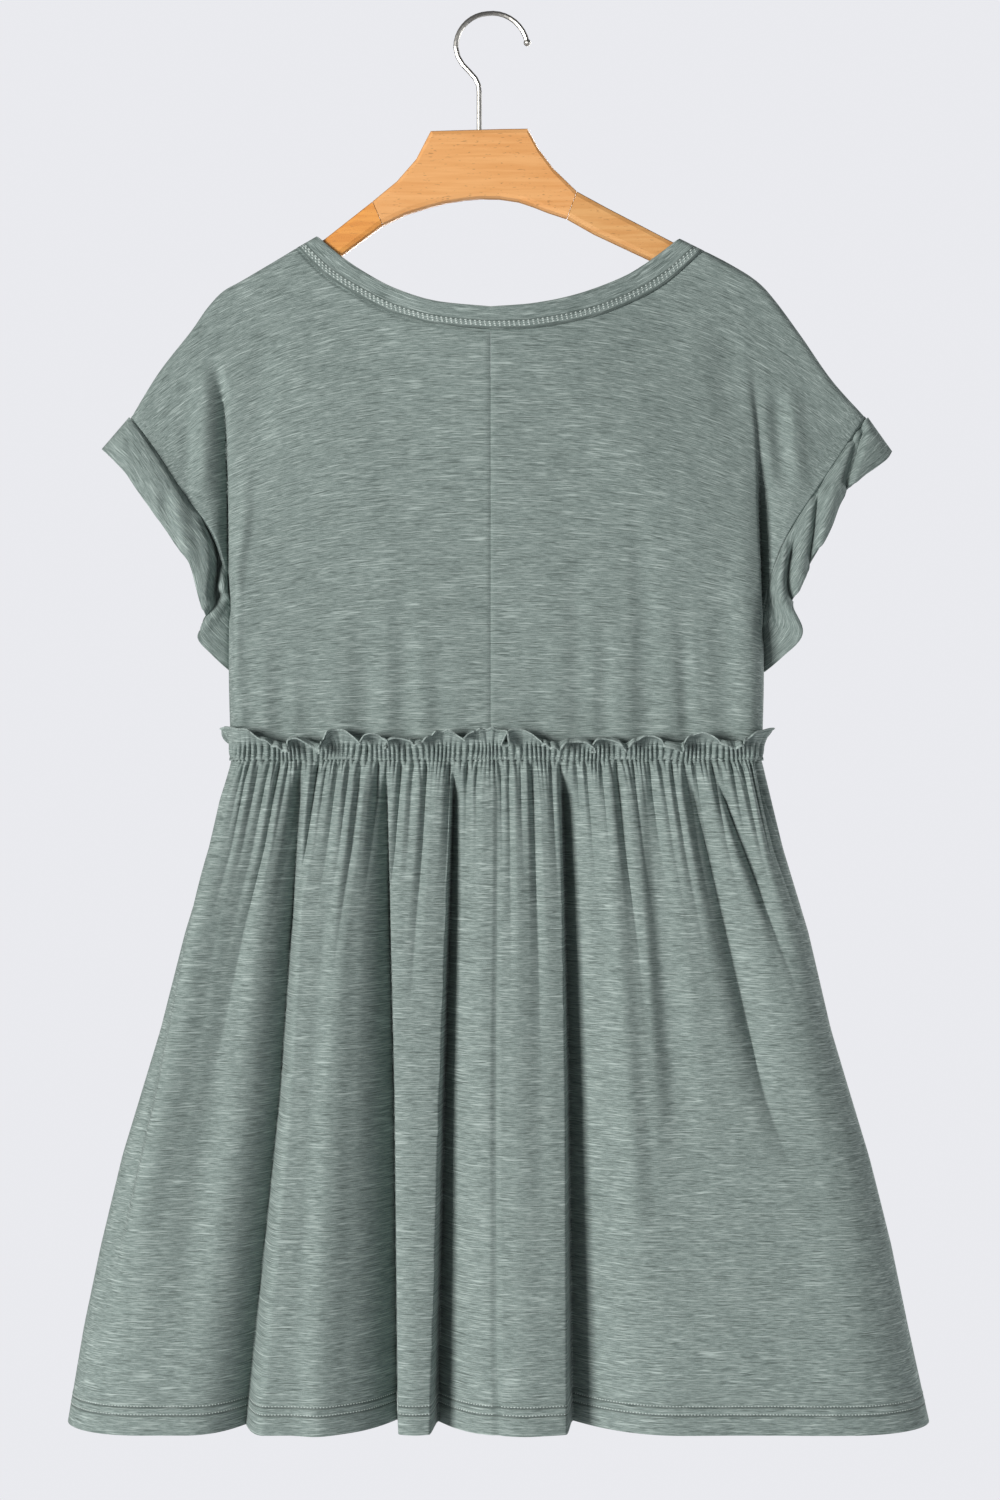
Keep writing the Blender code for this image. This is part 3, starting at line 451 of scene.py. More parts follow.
# The sleeve's fold: the width of its edge at the shoulder and how much narrower it gets, the share
# of the depth lost at once and farther down, and the share that stays lost beyond the valley. On
# each side: how soon its valley rises again, and the height it deepens from.
FOLD_EDGE = 12.0
FOLD_EDGE_LOSS = 9.5
FOLD_SHARE = 0.30
FOLD_SHARE_BELOW = 0.66
BEYOND_VALLEY = 0.12
LEFT_VALLEY = (6.0, -250.0)
RIGHT_VALLEY = (10.0, -318.0)

# The courses of the knit droop toward the sleeves: how far at the reach, and how it grows
DROOP = 72.0
DROOP_REACH = 250.0
DROOP_POWER = 2.8


def smooth(value):
    """An eased step from 0 to 1."""
    held = np.clip(value, 0.0, 1.0)
    return held * held * (3.0 - 2.0 * held)


def quarter_arc(distance, radius):
    """Rise of a quarter circle: 0 at the edge and 1 from the radius inward."""
    short = 1.0 - np.clip(distance / radius, 0.0, 1.0)
    return np.sqrt(np.maximum(0.0, 1.0 - short * short))


def bump(away):
    """A soft round bump of height 1 that ends where away is 1."""
    return np.where(np.abs(away) < 1.0, 0.5 + 0.5 * np.cos(pi * np.clip(away, -1.0, 1.0)), 0.0)


def fold_side(past, core, wide):
    """Share of a fold's depth beside its bottom: a wall on a narrow side, a roll on a wide one."""
    edge = 1.0 - np.clip(past / (wide + EDGE_ROLL_WIDTH), 0.0, 1.0)
    crisp = (1.0 - EDGE_ROLL) * (1.0 - smooth(past / wide)) + EDGE_ROLL * edge * edge
    rest = 1.0 - np.clip(past / wide, 0.0, 1.0)
    return np.where(wide > core, rest ** FOLD_ROLL, crisp)


class Line:
    """A smooth curve through a table's rows, read at shares of its length."""

    def __init__(self, rows, steps=40):
        rows = np.array([tuple(row) for row in rows], float)
        lengths = np.hypot(*(rows[1:, :2] - rows[:-1, :2]).T)
        starts = np.concatenate([[0.0], np.cumsum(lengths)])
        shares = []
        values = []
        for k in range(len(rows) - 1):
            first = rows[max(k - 1, 0)]
            last = rows[min(k + 2, len(rows) - 1)]
            t = np.linspace(0.0, 1.0, steps, endpoint=k == len(rows) - 2)[:, None]
            a, b, c, d = first, rows[k], rows[k + 1], last
            bend = 2 * a - 5 * b + 4 * c - d
            twist = 3 * b - a - 3 * c + d
            values.append(b + 0.5 * t * ((c - a) + t * (bend + t * twist)))
            shares.append(starts[k] + t[:, 0] * lengths[k])
        self.rows = rows
        self.shares = np.concatenate(shares) / starts[-1]
        self.row_shares = starts / starts[-1]
        self.values = np.concatenate(values)

    def at(self, share):
        share = np.clip(share, 0.0, 1.0)
        return [np.interp(share, self.shares, column) for column in self.values.T]

    def x_at(self, z):
        """The line's x at a height."""
        order = np.argsort(self.values[:, 1])
        return np.interp(z, self.values[order, 1], self.values[order, 0])

    def distance(self, x, z):
        """Shortest distance from places to the smooth line."""
        return path_distance(self.values[::5, :2], x, z)[0]


def lengths_along(path):
    """How far along a path each of its points is."""
    steps = np.linalg.norm(np.diff(path, axis=0), axis=1)
    return np.concatenate([[0.0], np.cumsum(steps)])


def lengths_round(ring):
    """The same round a closed ring, with its first point once more at the end."""
    return lengths_along(np.concatenate([ring, ring[:1]]))


def path_distance(path, x, z):
    """Shortest distance from places to a path, and how far along the path that is."""
    best = np.full(np.shape(x), 1e9)
    along = np.zeros(np.shape(x))
    gone = 0.0
    for start, stop in zip(path, path[1:]):
        dx, dz = stop[0] - start[0], stop[1] - start[1]
        long = hypot(dx, dz)
        if long < 1e-6:
            continue
        t = np.clip(((x - start[0]) * dx + (z - start[1]) * dz) / (long * long), 0.0, 1.0)
        away = np.hypot(x - start[0] - t * dx, z - start[1] - t * dz)
        along = np.where(away < best, gone + t * long, along)
        best = np.minimum(best, away)
        gone += long
    return best, along


def column(rows, key, wanted, value):
    """One column of a table, read where another has the value."""
    keys = [getattr(row, key) for row in rows]
    return np.interp(value, keys, [getattr(row, wanted) for row in rows])


def armhole_depth(share):
    """Depth of the sleeve's open edge, nothing at its two ends."""
    return ARMHOLE_DEPTH * np.maximum(np.sin(pi * np.clip(share, 0.0, 1.0)), 0.0) ** 0.6


def neck_drop(share, drop):
    """How much lower the front's neck is, from its shoulder end to the middle."""
    return drop * smooth(share * 1.1) ** 0.8


class Panel:
    """Four edges of half a bodice, blended into a grid: from the outer edge to the centre."""

    def __init__(self, neck, shoulder, armhole, side, fold, valley):
        self.neck = Line(neck)
        self.shoulder = Line(shoulder)
        self.armhole = Line(armhole)
        self.side = Line(side)
        self.centre = CENTRE_X / MM
        self.waist = side[-1].z
        self.fold = Line(fold)
        self.sign = -1.0 if shoulder[-1].x < 0 else 1.0
        self.valley, self.deepens = valley

    def neckline(self, share, drop):
        """Places on the neck's edge, which is lower in front by the drop."""
        x, z = self.neck.at(share)
        return x, z - neck_drop(share, drop)

    def top(self, share, drop):
        """Places on the shoulder and then the neck."""
        split = 1.0 - NECK_SHARE
        sx, sz = self.shoulder.at(1.0 - share / split)
        nx, nz = self.neckline((share - split) / NECK_SHARE, drop)
        return np.where(share < split, sx, nx), np.where(share < split, sz, nz)

    def outer(self, share):
        """Places on the armhole and then the side."""
        ax, az = self.armhole.at(share / ARMHOLE_SHARE)
        sx, sz = self.side.at((share - ARMHOLE_SHARE) / (1.0 - ARMHOLE_SHARE))
        return np.where(share < ARMHOLE_SHARE, ax, sx), np.where(share < ARMHOLE_SHARE, az, sz)

    def place(self, u, v, drop):
        """Places in the panel's outline, blended from its four edges."""
        start = self.side.values[-1]
        top = self.top(u, drop)
        outer = self.outer(v)
        crown = self.neck.values[-1][1] - drop
        bottom = (start[0] + (self.centre - start[0]) * u, start[1] + 0.0 * u)
        inner = (self.centre + 0.0 * v, crown + (self.waist - crown) * v)
        zero = np.zeros(1)
        one = np.ones(1)
        first = [k[0] for k in self.top(zero, drop)]
        last = [k[0] for k in self.top(one, drop)]
        low = (start[0], start[1])
        low_inner = (self.centre, start[1])
        out = []
        for k in range(2):
            ruled = (1 - v) * top[k] + v * bottom[k] + (1 - u) * outer[k] + u * inner[k]
            twist = (1 - u) * (1 - v) * first[k] + u * (1 - v) * last[k]
            out.append(ruled - twist - (1 - u) * v * low[k] - u * v * low_inner[k])
        return out

    def beyond_fold(self, x, z):
        """Share of the depth lost on the sleeve's side of the fold below the shoulder."""
        rows = self.fold.rows
        past = self.sign * (x - self.fold.x_at(z))
        edge_width = FOLD_EDGE - FOLD_EDGE_LOSS * smooth((rows[0][1] - z) / 70.0)
        onset = smooth(past / edge_width + 0.5)
        valley = np.exp(-np.maximum(past - 1.5, 0.0) / self.valley)
        strength = FOLD_SHARE * smooth((rows[0][1] - z) / 50.0)
        strength = strength + FOLD_SHARE_BELOW * smooth((self.deepens - z) / 60.0)
        ends = 1.0 - smooth((rows[-1][1] - z) / 16.0)
        rounding = BODY_EDGE_SHARE * (1.0 - quarter_arc(-past, BODY_EDGE_ROUND)) * (1.0 - onset)
        lost = BEYOND_VALLEY + (1.0 - BEYOND_VALLEY) * valley
        return strength * ends * (onset * lost + rounding)


LEFT = Panel(NECK_LEFT, SHOULDER_LEFT, ARMHOLE_LEFT, SIDE_LEFT, SLEEVE_FOLD_LEFT, LEFT_VALLEY)
RIGHT = Panel(NECK_RIGHT, SHOULDER_RIGHT, ARMHOLE_RIGHT, SIDE_RIGHT, SLEEVE_FOLD_RIGHT, RIGHT_VALLEY)


def body_depth(ridge, fullness):
    """Depth of the body at a distance below the ridge of the shoulder, in metres."""
    grown = (fullness - RIDGE_DEPTH) * smooth(ridge / BODY_FALL)
    return RIDGE_DEPTH * quarter_arc(ridge, RIDGE_ROUND) + grown


def bodice_depth(side, x, z, v, fullness, folded):
    """How far the cloth lies from the middle plane, in metres."""
    ridge = side.shoulder.distance(x, z) * MM
    edge = np.minimum(side.armhole.distance(x, z), side.side.distance(x, z)) * MM
    body = body_depth(ridge, fullness)
    body = body + (WAIST_DEPTH - fullness) * smooth(1.0 - (z * MM - WAIST_Z) / WAIST_BLEND)
    inside = quarter_arc(edge, SIDE_ROUND)
    if folded:
        body = body * (1.0 - side.beyond_fold(x, z))
    opening = armhole_depth(v / ARMHOLE_SHARE) * quarter_arc(ridge, RIDGE_ROUND)
    return body * inside + opening * (1.0 - inside)


def crease_depth(creases, x, z):
    """How far the creases take the cloth inward, in metres."""
    total = np.zeros(np.shape(x))
    for row in creases:
        path = Line(row.path, 12).values if len(row.path) > 2 else np.array(row.path)
        away, along = path_distance(path, x, z)
        long = np.sum(np.hypot(*np.diff(path, axis=0).T))
        ends = smooth(along / row.fade) * (0.25 + 0.75 * smooth((long - along) / row.fade + 0.6))
        total = total + row.depth * ends * bump(away / row.width / CREASE_SPREAD)
    return total * MM


def wander(x, z, seed):
    """A slow uneven swell between about -1 and 1, over places in millimetres."""
    swell = np.sin(x / 31.0 + seed) * np.sin(z / 47.0 + 2.1 * seed)
    swell = swell + 0.6 * np.sin(x / 17.0 + z / 39.0 + 3.7 * seed)
    return swell / 1.6


def shares_near_edge(count, edge_steps, edge_share):
    """Even shares from 0 to 1, with finer steps near 0."""
    near = edge_share * (np.arange(edge_steps) / edge_steps) ** 1.6
    rest = np.linspace(edge_share, 1.0, count - edge_steps)
    return np.concatenate([near, rest])


def grain(x, z):
    """Places along and across the knit's courses, in metres."""
    out = x - CENTRE_X / MM
    far = np.abs(out)
    higher = smooth((z - WAIST_Z / MM) / 260.0)
    droop = DROOP * (far / DROOP_REACH) ** DROOP_POWER * (0.2 + 0.8 * higher)
    slope = DROOP * DROOP_POWER / DROOP_REACH * (far / DROOP_REACH) ** (DROOP_POWER - 1.0)
    along = out * (1.0 + 0.25 * slope * slope)
    return np.stack([along * MM, (z + droop) * MM], axis=-1)


def half_points(side, u, v, drop, fullness, towards, folded, creases):
    """Points and cut places of half a bodice, as grids of v by u."""
    uu, vv = np.meshgrid(u, v)
    x, z = side.place(uu, vv, drop)
    end = side.shoulder.rows[-1]
    near_end = np.maximum(1.0 - np.hypot(x - end[0], z - end[1]) / 8.0, 0.0)
    y = bodice_depth(side, x, z, vv, fullness, folded)
    ridge = side.shoulder.distance(x, z)
    edge = np.minimum(side.armhole.distance(x, z), side.side.distance(x, z))
    free = smooth(ridge / SWELL_BELOW_RIDGE) * smooth(edge / SWELL_INSIDE_EDGE)
    creased = smooth(edge / CREASE_INSIDE_EDGE) * smooth(ridge / CREASE_BELOW_RIDGE)
    y = y - crease_depth(creases, x, z) * np.maximum(free, creased)
    y = y + BODICE_SWELL * wander(x, z, 1.0 if towards < 0 else 2.0) * free
    seam = side.armhole.distance(x, z)
    y = y - SEAM_DIP * MM * bump(seam / SEAM_WIDTH) * smooth(ridge / 6.0)
    y = np.maximum(y, SEAM_CLEAR + SLEEVE_CLEAR * near_end)
    points = np.stack([x * MM, towards * y, z * MM], axis=-1)
    cut = grain(x, z)
    cut[..., 0] += side.sign * np.maximum(fullness - y, 0.0) * (1.0 - smooth(edge / 16.0))
    return points, cut


def new_object(name, data):
    """A new object in the scene."""
    made = bpy.data.objects.new(name, data)
    bpy.context.scene.collection.objects.link(made)
    return made


def mesh_object(name, points, faces, material):
    """A new object in the scene from lists of points and faces."""
    mesh = bpy.data.meshes.new(name)
    mesh.from_pydata(points, [], faces)
    mesh.materials.append(material)
    return new_object(name, mesh)


def sheet_object(name, points, cut, material, wall, closed=False, edge=None):
    """A cloth wall over a grid of points, rows downward, columns to the right from outside."""
    rows, columns = points.shape[:2]
    if closed:
        points = np.concatenate([points, points[:, :1]], axis=1)
    count = columns if not closed else columns + 1
    index = np.arange(rows * count).reshape(rows, count)
    corners = [index[:-1, :-1], index[1:, :-1], index[1:, 1:], index[:-1, 1:]]
    faces = np.stack(corners, axis=-1).reshape(-1, 4)
    made = mesh_object(name, points.reshape(-1, 3).tolist(), faces.tolist(), material)
    mesh = made.data
    layer = mesh.uv_layers.new(name="cut")
    layer.data.foreach_set("uv", cut.reshape(-1, 2)[faces.ravel()].astype(np.float32).ravel())
    if closed:
        seam = bmesh.new()
        seam.from_mesh(mesh)
        bmesh.ops.remove_doubles(seam, verts=seam.verts, dist=1e-7)
        seam.to_mesh(mesh)
        seam.free()
    solidify = made.modifiers.new("wall", "SOLIDIFY")
    solidify.thickness = wall
    solidify.offset = -1.0
    if edge:
        mesh.materials.append(edge)
        edge_faces = EDGE_ROWS * (count - 1)
        mesh.polygons.foreach_set("material_index", [1] * edge_faces + [0] * (len(faces) - edge_faces))
    finish_object(made)
    return made


def select_only(thing):
    """Makes one object the only one selected."""
    bpy.ops.object.select_all(action="DESELECT")
    thing.select_set(True)
    bpy.context.view_layer.objects.active = thing


def finish_object(thing):
    """Applies the modifiers and shades by angle."""
    select_only(thing)
    for modifier in list(thing.modifiers):
        bpy.ops.object.modifier_apply(modifier=modifier.name)
    bpy.ops.object.shade_smooth_by_angle(angle=radians(SMOOTH_ANGLE))


def dress_up(thing, node):
    """Places a finished piece on the frame: attaches it to its body and hides its solid."""
    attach(thing, "root")
    if node:
        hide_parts(*node)


def make_bodice(jersey):
    """Two back halves with a centre seam, and a front in one piece."""
    outer = shares_near_edge(*BACK_OUTER) * BACK_OUTER_SHARE
    u = np.concatenate([outer, np.linspace(*BACK_INNER)])
    v = shares_near_edge(*BACK_DOWN)
    for side, name in ((LEFT, "bodice_back_left"), (RIGHT, "bodice_back_right")):
        points, cut = half_points(side, u, v, 0.0, BACK_DEPTH, -1.0, True, BACK_CREASES)
        band_edge = side.neck.distance(points[..., 0] / MM, points[..., 2] / MM)
        points[..., 1] += CENTRE_DIP * bump((points[..., 0] - CENTRE_X) / (1.5 * MM))
        points[..., 1] += NECK_DIP * bump(band_edge / 2.6)
        points[:, -1, 0] += side.sign * SEAM_CLEAR
        if side.sign > 0:
            points = points[:, ::-1]
            cut = cut[:, ::-1]
        piece = sheet_object(name + "_cloth", points, cut, jersey, WALL)
        dress_up(piece, [name])
    drop = FRONT_NECK_DROP / MM
    front_u = shares_near_edge(*FRONT_ACROSS)
    front_v = shares_near_edge(*FRONT_DOWN)
    right, left = [half_points(side, front_u, front_v, drop, FRONT_DEPTH, 1.0, False, FRONT_CREASES)
                   for side in (RIGHT, LEFT)]
    points, cut = [np.concatenate([right[k], left[k][:, -2::-1]], axis=1) for k in range(2)]
    piece = sheet_object("bodice_front_cloth", points, cut, jersey, WALL)
    dress_up(piece, ["bodice_front"])


def band_ring(across, shares, drop, towards, out):
    """Half a ring of the neck band, from the left shoulder to the right one."""
    parts = []
    for side, free_rows in ((LEFT, BAND_LEFT), (RIGHT, BAND_RIGHT)):
        free = Line(free_rows)
        seam_x, seam_z = side.neckline(shares, drop)
        free_x, free_z = free.at(shares)
        free_z = free_z - neck_drop(shares, drop)
        span = np.hypot(seam_x - free_x, seam_z - free_z)
        held = across * (span - BAND_GAP) / span
        x = free_x + (seam_x - free_x) * held
        z = free_z + (seam_z - free_z) * held
        ridge_x, ridge_z = side.neck.at(shares)
        ridge = side.shoulder.distance(ridge_x, ridge_z) * MM
        fullness = BACK_DEPTH if towards < 0 else FRONT_DEPTH
        body = body_depth(ridge, fullness) + out * quarter_arc(ridge, 10.0 * MM)
        points = np.stack([x * MM, towards * body, z * MM], axis=-1)
        parts.append(points if side is LEFT else points[-2::-1])
    return np.concatenate(parts)


def make_neck_band(jersey, thread):
    """The folded band round the neck, a little proud of the bodice at its seam."""
    shares = shares_near_edge(*BAND_SHARES)
    drop = FRONT_NECK_DROP / MM
    grid = []
    for across, out in BAND_PROFILE:
        back = band_ring(across, shares, 0.0, -1.0, out * MM)
        front = band_ring(across, shares, drop, 1.0, out * MM)
        grid.append(np.concatenate([back, front[-2:0:-1]]))
    points = np.array(grid)
    round_it = lengths_round(points[0][:, [0, 2]])
    widths = np.array([row[0] for row in BAND_PROFILE]) * BAND_WIDTH
    cut = np.stack(np.meshgrid(round_it, -widths), axis=-1)
    piece = sheet_object("neck_band_cloth", points, cut, jersey, BAND_WALL, closed=True)
    dress_up(piece, ["neck_band"])
    rows = []
    for k, across in enumerate(BAND_STITCHES):
        for shift, towards in ((0.0, -1.0), (drop, 1.0)):
            path = band_ring(across, shares, shift, towards, BAND_STITCH_OUT)[3:-3]
            outward = np.zeros(path.shape)
            outward[:, 1] = towards
            rows.append(stitch_marks(path, outward, BAND_STITCH, k % 2))
    stitch_object("neck_band_stitches", rows, thread)


def cuff_grid(panel, rows, creases, shares, across, towards):
    """Half a cuff's points: one grid row for each share of its width."""
    ss, aa = np.meshgrid(shares, across)
    seam_x, seam_z = panel.armhole.at(ss)
    free = Line([row[1:] for row in rows])
    places = np.interp(ss, [row.share for row in rows], free.row_shares)
    free_x, free_z, flare = free.at(places)
    gap = CUFF_GAP + CUFF_GAP_UNDERARM * smooth((ss - 0.8) / 0.2)
    span = np.hypot(free_x - seam_x, free_z - seam_z)
    held = (aa * (span - gap) + gap) / span
    x = seam_x + (free_x - seam_x) * held
    z = seam_z + (free_z - seam_z) * held
    middle = smooth(np.minimum(16 * ss, 7 * (1 - ss)))
    roll = CUFF_ROLL * np.sin(pi * aa) ** 0.7 * middle
    y = armhole_depth(ss) / MM + flare * held + roll
    y = y - crease_depth(creases, x, z) / MM * middle
    y = y - SEAM_DIP * bump(aa * span / SEAM_WIDTH) * middle
    y = np.maximum(y, 0.25 * middle)
    return np.stack([x * MM, towards * y * MM, z * MM], axis=-1)


def make_cuffs(jersey):
    """The turned-up sleeve ends, rolled and twisted."""
    shares = np.linspace(0.0, 1.0, CUFF_COLUMNS)
    across = np.concatenate([np.linspace(*row) for row in CUFF_ROWS])
    sides = (
        (LEFT, CUFF_LEFT, CUFF_CREASES_LEFT, "cuff_left"),
        (RIGHT, CUFF_RIGHT, CUFF_CREASES_RIGHT, "cuff_right"),
    )
    for panel, rows, creases, name in sides:
        back = cuff_grid(panel, rows, creases, shares, across, -1.0)
        front = cuff_grid(panel, rows, creases[:2], shares, across, 1.0)
        points = np.concatenate([back, front[:, -2:0:-1]], axis=1)
        if panel is LEFT:
            points = points[:, ::-1]
        round_it = lengths_round(points[len(across) // 2])
        cut = np.stack(np.meshgrid(round_it, across * -0.03), axis=-1)
        piece = sheet_object(name + "_cloth", points, cut, jersey, CUFF_WALL, closed=True)
        dress_up(piece, [name])


def section(share, left, right, depth, corner, out=0.0):
    """Places on half a flattened ring, left to right, with the outward lean there."""
    arc = pi / 2 * np.sqrt((corner * corner + depth * depth) / 2)
    flat = right - left - 2 * corner
    place = share * (2 * arc + flat)
    near = np.clip(place / arc, 0.0, 1.0) * pi / 2
    far = np.clip((2 * arc + flat - place) / arc, 0.0, 1.0) * pi / 2
    on_left = place < arc
    on_right = place > arc + flat
    x = np.where(on_left, left + corner * (1 - np.cos(near)), left + corner + place - arc)
    x = np.where(on_right, right - corner * (1 - np.cos(far)), x)
    y = np.where(on_left, depth * np.sin(near), np.where(on_right, depth * np.sin(far), depth))
    lean_x = np.where(on_left, -np.cos(near), np.where(on_right, np.cos(far), 0.0))
    lean_y = np.where(on_left, np.sin(near), np.where(on_right, np.sin(far), 1.0))
    return x + lean_x * out, y + lean_y * out, lean_x, lean_y


def skirt_size(drop, hem_depth):
    """Left, right, depth and corner of the skirt at a drop below the waist, in metres."""
    share = drop / (WAIST_Z - HEM_Z)
    left = column(SKIRT_WIDTHS, "drop", "left", drop / MM) * MM
    right = column(SKIRT_WIDTHS, "drop", "right", drop / MM) * MM
    depth = WAIST_DEPTH + (hem_depth - WAIST_DEPTH) * share
    corner = SIDE_ROUND + (HEM_ROUND - SIDE_ROUND) * share
    return left, right, depth, corner


def fold_depth(folds, x, drop):
    """How far the main folds take the cloth inward, in millimetres."""
    length = (WAIST_Z - HEM_Z) / MM
    total = np.zeros(np.broadcast(x, drop).shape)
    for fold in folds:
        centre = np.interp(drop, (0.0, length / 2, length), (fold.waist_x, fold.middle_x, fold.hem_x))
        grown = fold.at_waist * smooth((drop - 2.0) / FOLD_ONSET)
        grown = grown + (1 - fold.at_waist) * (drop / length) ** 0.8
        gone = 1.0 - smooth((drop - fold.end) / FOLD_FADE + 1.0)
        scale = FOLD_WAIST_SHARE + (1.0 - FOLD_WAIST_SHARE) * drop / length
        wide = np.where(x < centre, fold.left_width, fold.right_width) * scale
        past = np.abs(x - centre)
        side = fold_side(past, fold.core * scale, wide) if fold.core > 0.0 else bump(past / wide)
        total = total + fold.depth * grown * gone * side
    return total


def ruching(x, z):
    """Narrow uneven grooves, 1 at their bottoms: x along the waist and z up from it, in millimetres."""
    place = 2 * pi * x / PLEAT_PITCH + 2.8 * np.sin(x / 6.0) + 1.8 * np.sin(x / 17.0 + 1.0)
    place = place + z * (0.14 * np.sin(x / 13.0) + 0.10 * np.sin(x / 4.7))
    uneven = 0.78 + 0.22 * np.sin(x / 3.3 + 1.4 * np.sin(x / 8.0)) * np.sin(x / 21.0 + 2.0)
    return uneven * (1.0 - np.abs(np.cos(place / 2))) ** 1.1


def gather_rows(back):
    """The gathers of one side of the skirt."""
    if back:
        return BACK_GATHERS
    left, right = SKIRT_WIDTHS[0].left, SKIRT_WIDTHS[0].right
    rows = []
    for k in range(FRONT_GATHER_COUNT):
        share = (k + 0.5 + 0.28 * sin(2.3 * k)) / FRONT_GATHER_COUNT
        uneven = 1.0 + 0.3 * sin(4.1 * k + 1.0)
        rows.append(Gather(left + (right - left) * share, FRONT_GATHER_DEPTH * uneven,
                           FRONT_GATHER_WIDTH * (1.0 + 0.15 * sin(1.7 * k)),
                           FRONT_GATHER_REACH * (1.0 + 0.4 * sin(3.3 * k))))
    return rows


def gather_depth(rows, waist_x, drop):
    """How far the small gathers take the cloth inward, in millimetres."""
    total = np.zeros(np.broadcast(waist_x, drop).shape)
    for row in rows:
        size = smooth((drop + 1.0) / GATHER_ONSET) * np.exp(-(drop / row.reach) ** 2)
        wide = row.width * (1.0 + drop / row.reach * GATHER_WIDENS)
        away = np.clip(np.abs(waist_x - row.x) / wide, 0.0, 1.0)
        total = total + GATHER_SHARE * row.depth * size * (1.0 - away) ** GATHER_ROLL
    fading = np.exp(-drop / RUCHE_REACH) * smooth(drop / 5.0 + 0.3)
    total = total + RUCHE_DEPTH * ruching(waist_x, -drop) * fading
    return total + TUCK_DEPTH * np.exp(-(drop / TUCK_REACH) ** 2)


def skirt_points(shares, drops, back):
    """Points and cut places of the skirt's back or front, as a grid."""
    ss, dd = np.meshgrid(shares, drops)
    hem_depth = BACK_HEM_DEPTH if back else FRONT_HEM_DEPTH
    left, right, depth, corner = skirt_size(dd * MM, hem_depth)
    x, y, lean_x, lean_y = section(ss, left, right, depth, corner)
    top_left, top_right = SKIRT_WIDTHS[0].left, SKIRT_WIDTHS[0].right
    waist_x = section(ss, top_left * MM, top_right * MM, WAIST_DEPTH, SIDE_ROUND)[0] / MM
    inward = fold_depth(BACK_FOLDS if back else FRONT_FOLDS, x / MM, dd) * smooth(y / depth)
    ends = smooth(np.minimum(ss, 1 - ss) * 45.0)
    inward = inward + gather_depth(gather_rows(back), waist_x, dd) * ends
    swell = wander(x / MM, dd * 0.6, 3.0 if back else 4.0) * smooth(dd / 80.0) * ends
    inward = inward - SKIRT_SWELL * swell
    y = np.maximum(y + lean_y * -inward * MM, SEAM_CLEAR)
    x = x - lean_x * inward * MM
    z = WAIST_Z - SEAM_GAP - dd * MM
    points = np.stack([x, -y if back else y, z + 0 * x], axis=-1)
    hem_left, hem_right = SKIRT_WIDTHS[-1].left, SKIRT_WIDTHS[-1].right
    waist_share = 0.72
    narrowed = waist_share + (1.0 - waist_share) * dd / SKIRT_WIDTHS[-1].drop
    cut_x = (ss - 0.5) * (hem_right - hem_left + FOLD_ALLOWANCE) * narrowed
    cut = np.stack([cut_x * MM, SKIRT_CUT_TOP - dd * MM], axis=-1)
    return points, cut


def make_skirt(jersey, thread):
    """Two back panels with a centre seam, and a front panel."""
    panels = (
        ("skirt_back_left", 0.0, 0.5, SKIRT_BACK_CUT, SKIRT_BACK_AREA),
        ("skirt_back_right", 0.5, 1.0, SKIRT_BACK_CUT, SKIRT_BACK_AREA),
        ("skirt_front", 0.0, 1.0, SKIRT_FRONT_CUT, SKIRT_FRONT_AREA),
    )
    for name, start, stop, flat, area in panels:
        back = name != "skirt_front"
        towards = -1.0 if back else 1.0
        levels = SKIRT_BACK_ROWS if back else SKIRT_FRONT_ROWS
        drops = np.concatenate([np.linspace(*row) for row in levels] + [HEM_ROWS])
        shares = np.linspace(start, stop, SKIRT_COLUMNS)
        points, cut = skirt_points(shares, drops, back)
        if back:
            points[..., 1] += SKIRT_DIP * bump((shares - 0.5) / 0.008)
            inner = -1 if start == 0.0 else 0
            points[:, inner, 0] += SEAM_CLEAR if inner == 0 else -SEAM_CLEAR
        hem_ridge(points, drops, towards)
        step = 1 if back else -1
        piece = sheet_object(name + "_cloth", points[:, ::step], cut[:, ::step], jersey, WALL)
        dress_up(piece, [name])
        hem_stitches(name, points, drops, towards, thread)


def read_along(path, gone, places):
    """A path's columns at places along it."""
    return np.stack([np.interp(places, gone, path[:, k]) for k in range(3)], axis=1)


def unit(rows):
    """Directions with a length of 1."""
    return rows / np.linalg.norm(rows, axis=1)[:, None]


def stitch_marks(path, outward, kind, row):
    """Small raised stitches along a path: points and faces, each an eight-sided grain."""
    pitch, long, wide, shift = kind
    gone = lengths_along(path)
    places = np.arange(pitch * 0.5 + row * shift, gone[-1] - pitch * 0.5, pitch)
    middle = read_along(path, gone, places)
    way = unit(read_along(path, gone, places + 0.3 * pitch) - middle)
    out = unit(read_along(outward, gone, places))
    across = np.cross(way, out)
    low = middle - STITCH_SUNK * out
    top = middle + STITCH_HEIGHT * out
    lengthwise = way * long / 2
    sideways = across * wide / 2
    ends = (middle - lengthwise, middle - sideways, middle + lengthwise, middle + sideways)
    points = np.stack([top, *ends, low], axis=1).reshape(-1, 3)
    faces = []
    for k in range(len(places)):
        first = 6 * k
        for side in range(4):
            here = first + 1 + side
            there = first + 1 + (side + 1) % 4
            faces.append((first, here, there))
            faces.append((first + 5, there, here))
    return points, faces


def stitch_object(name, rows, thread):
    """One mesh of several rows of stitches."""
    points = []
    faces = []
    for row_points, row_faces in rows:
        faces += [tuple(k + len(points) for k in face) for face in row_faces]
        points += row_points.tolist()
    made = mesh_object(name, points, faces, thread)
    select_only(made)
    bpy.ops.object.mode_set(mode="EDIT")
    bpy.ops.mesh.select_all(action="SELECT")
    bpy.ops.mesh.normals_make_consistent(inside=False)
    bpy.ops.object.mode_set(mode="OBJECT")
    dress_up(made, None)


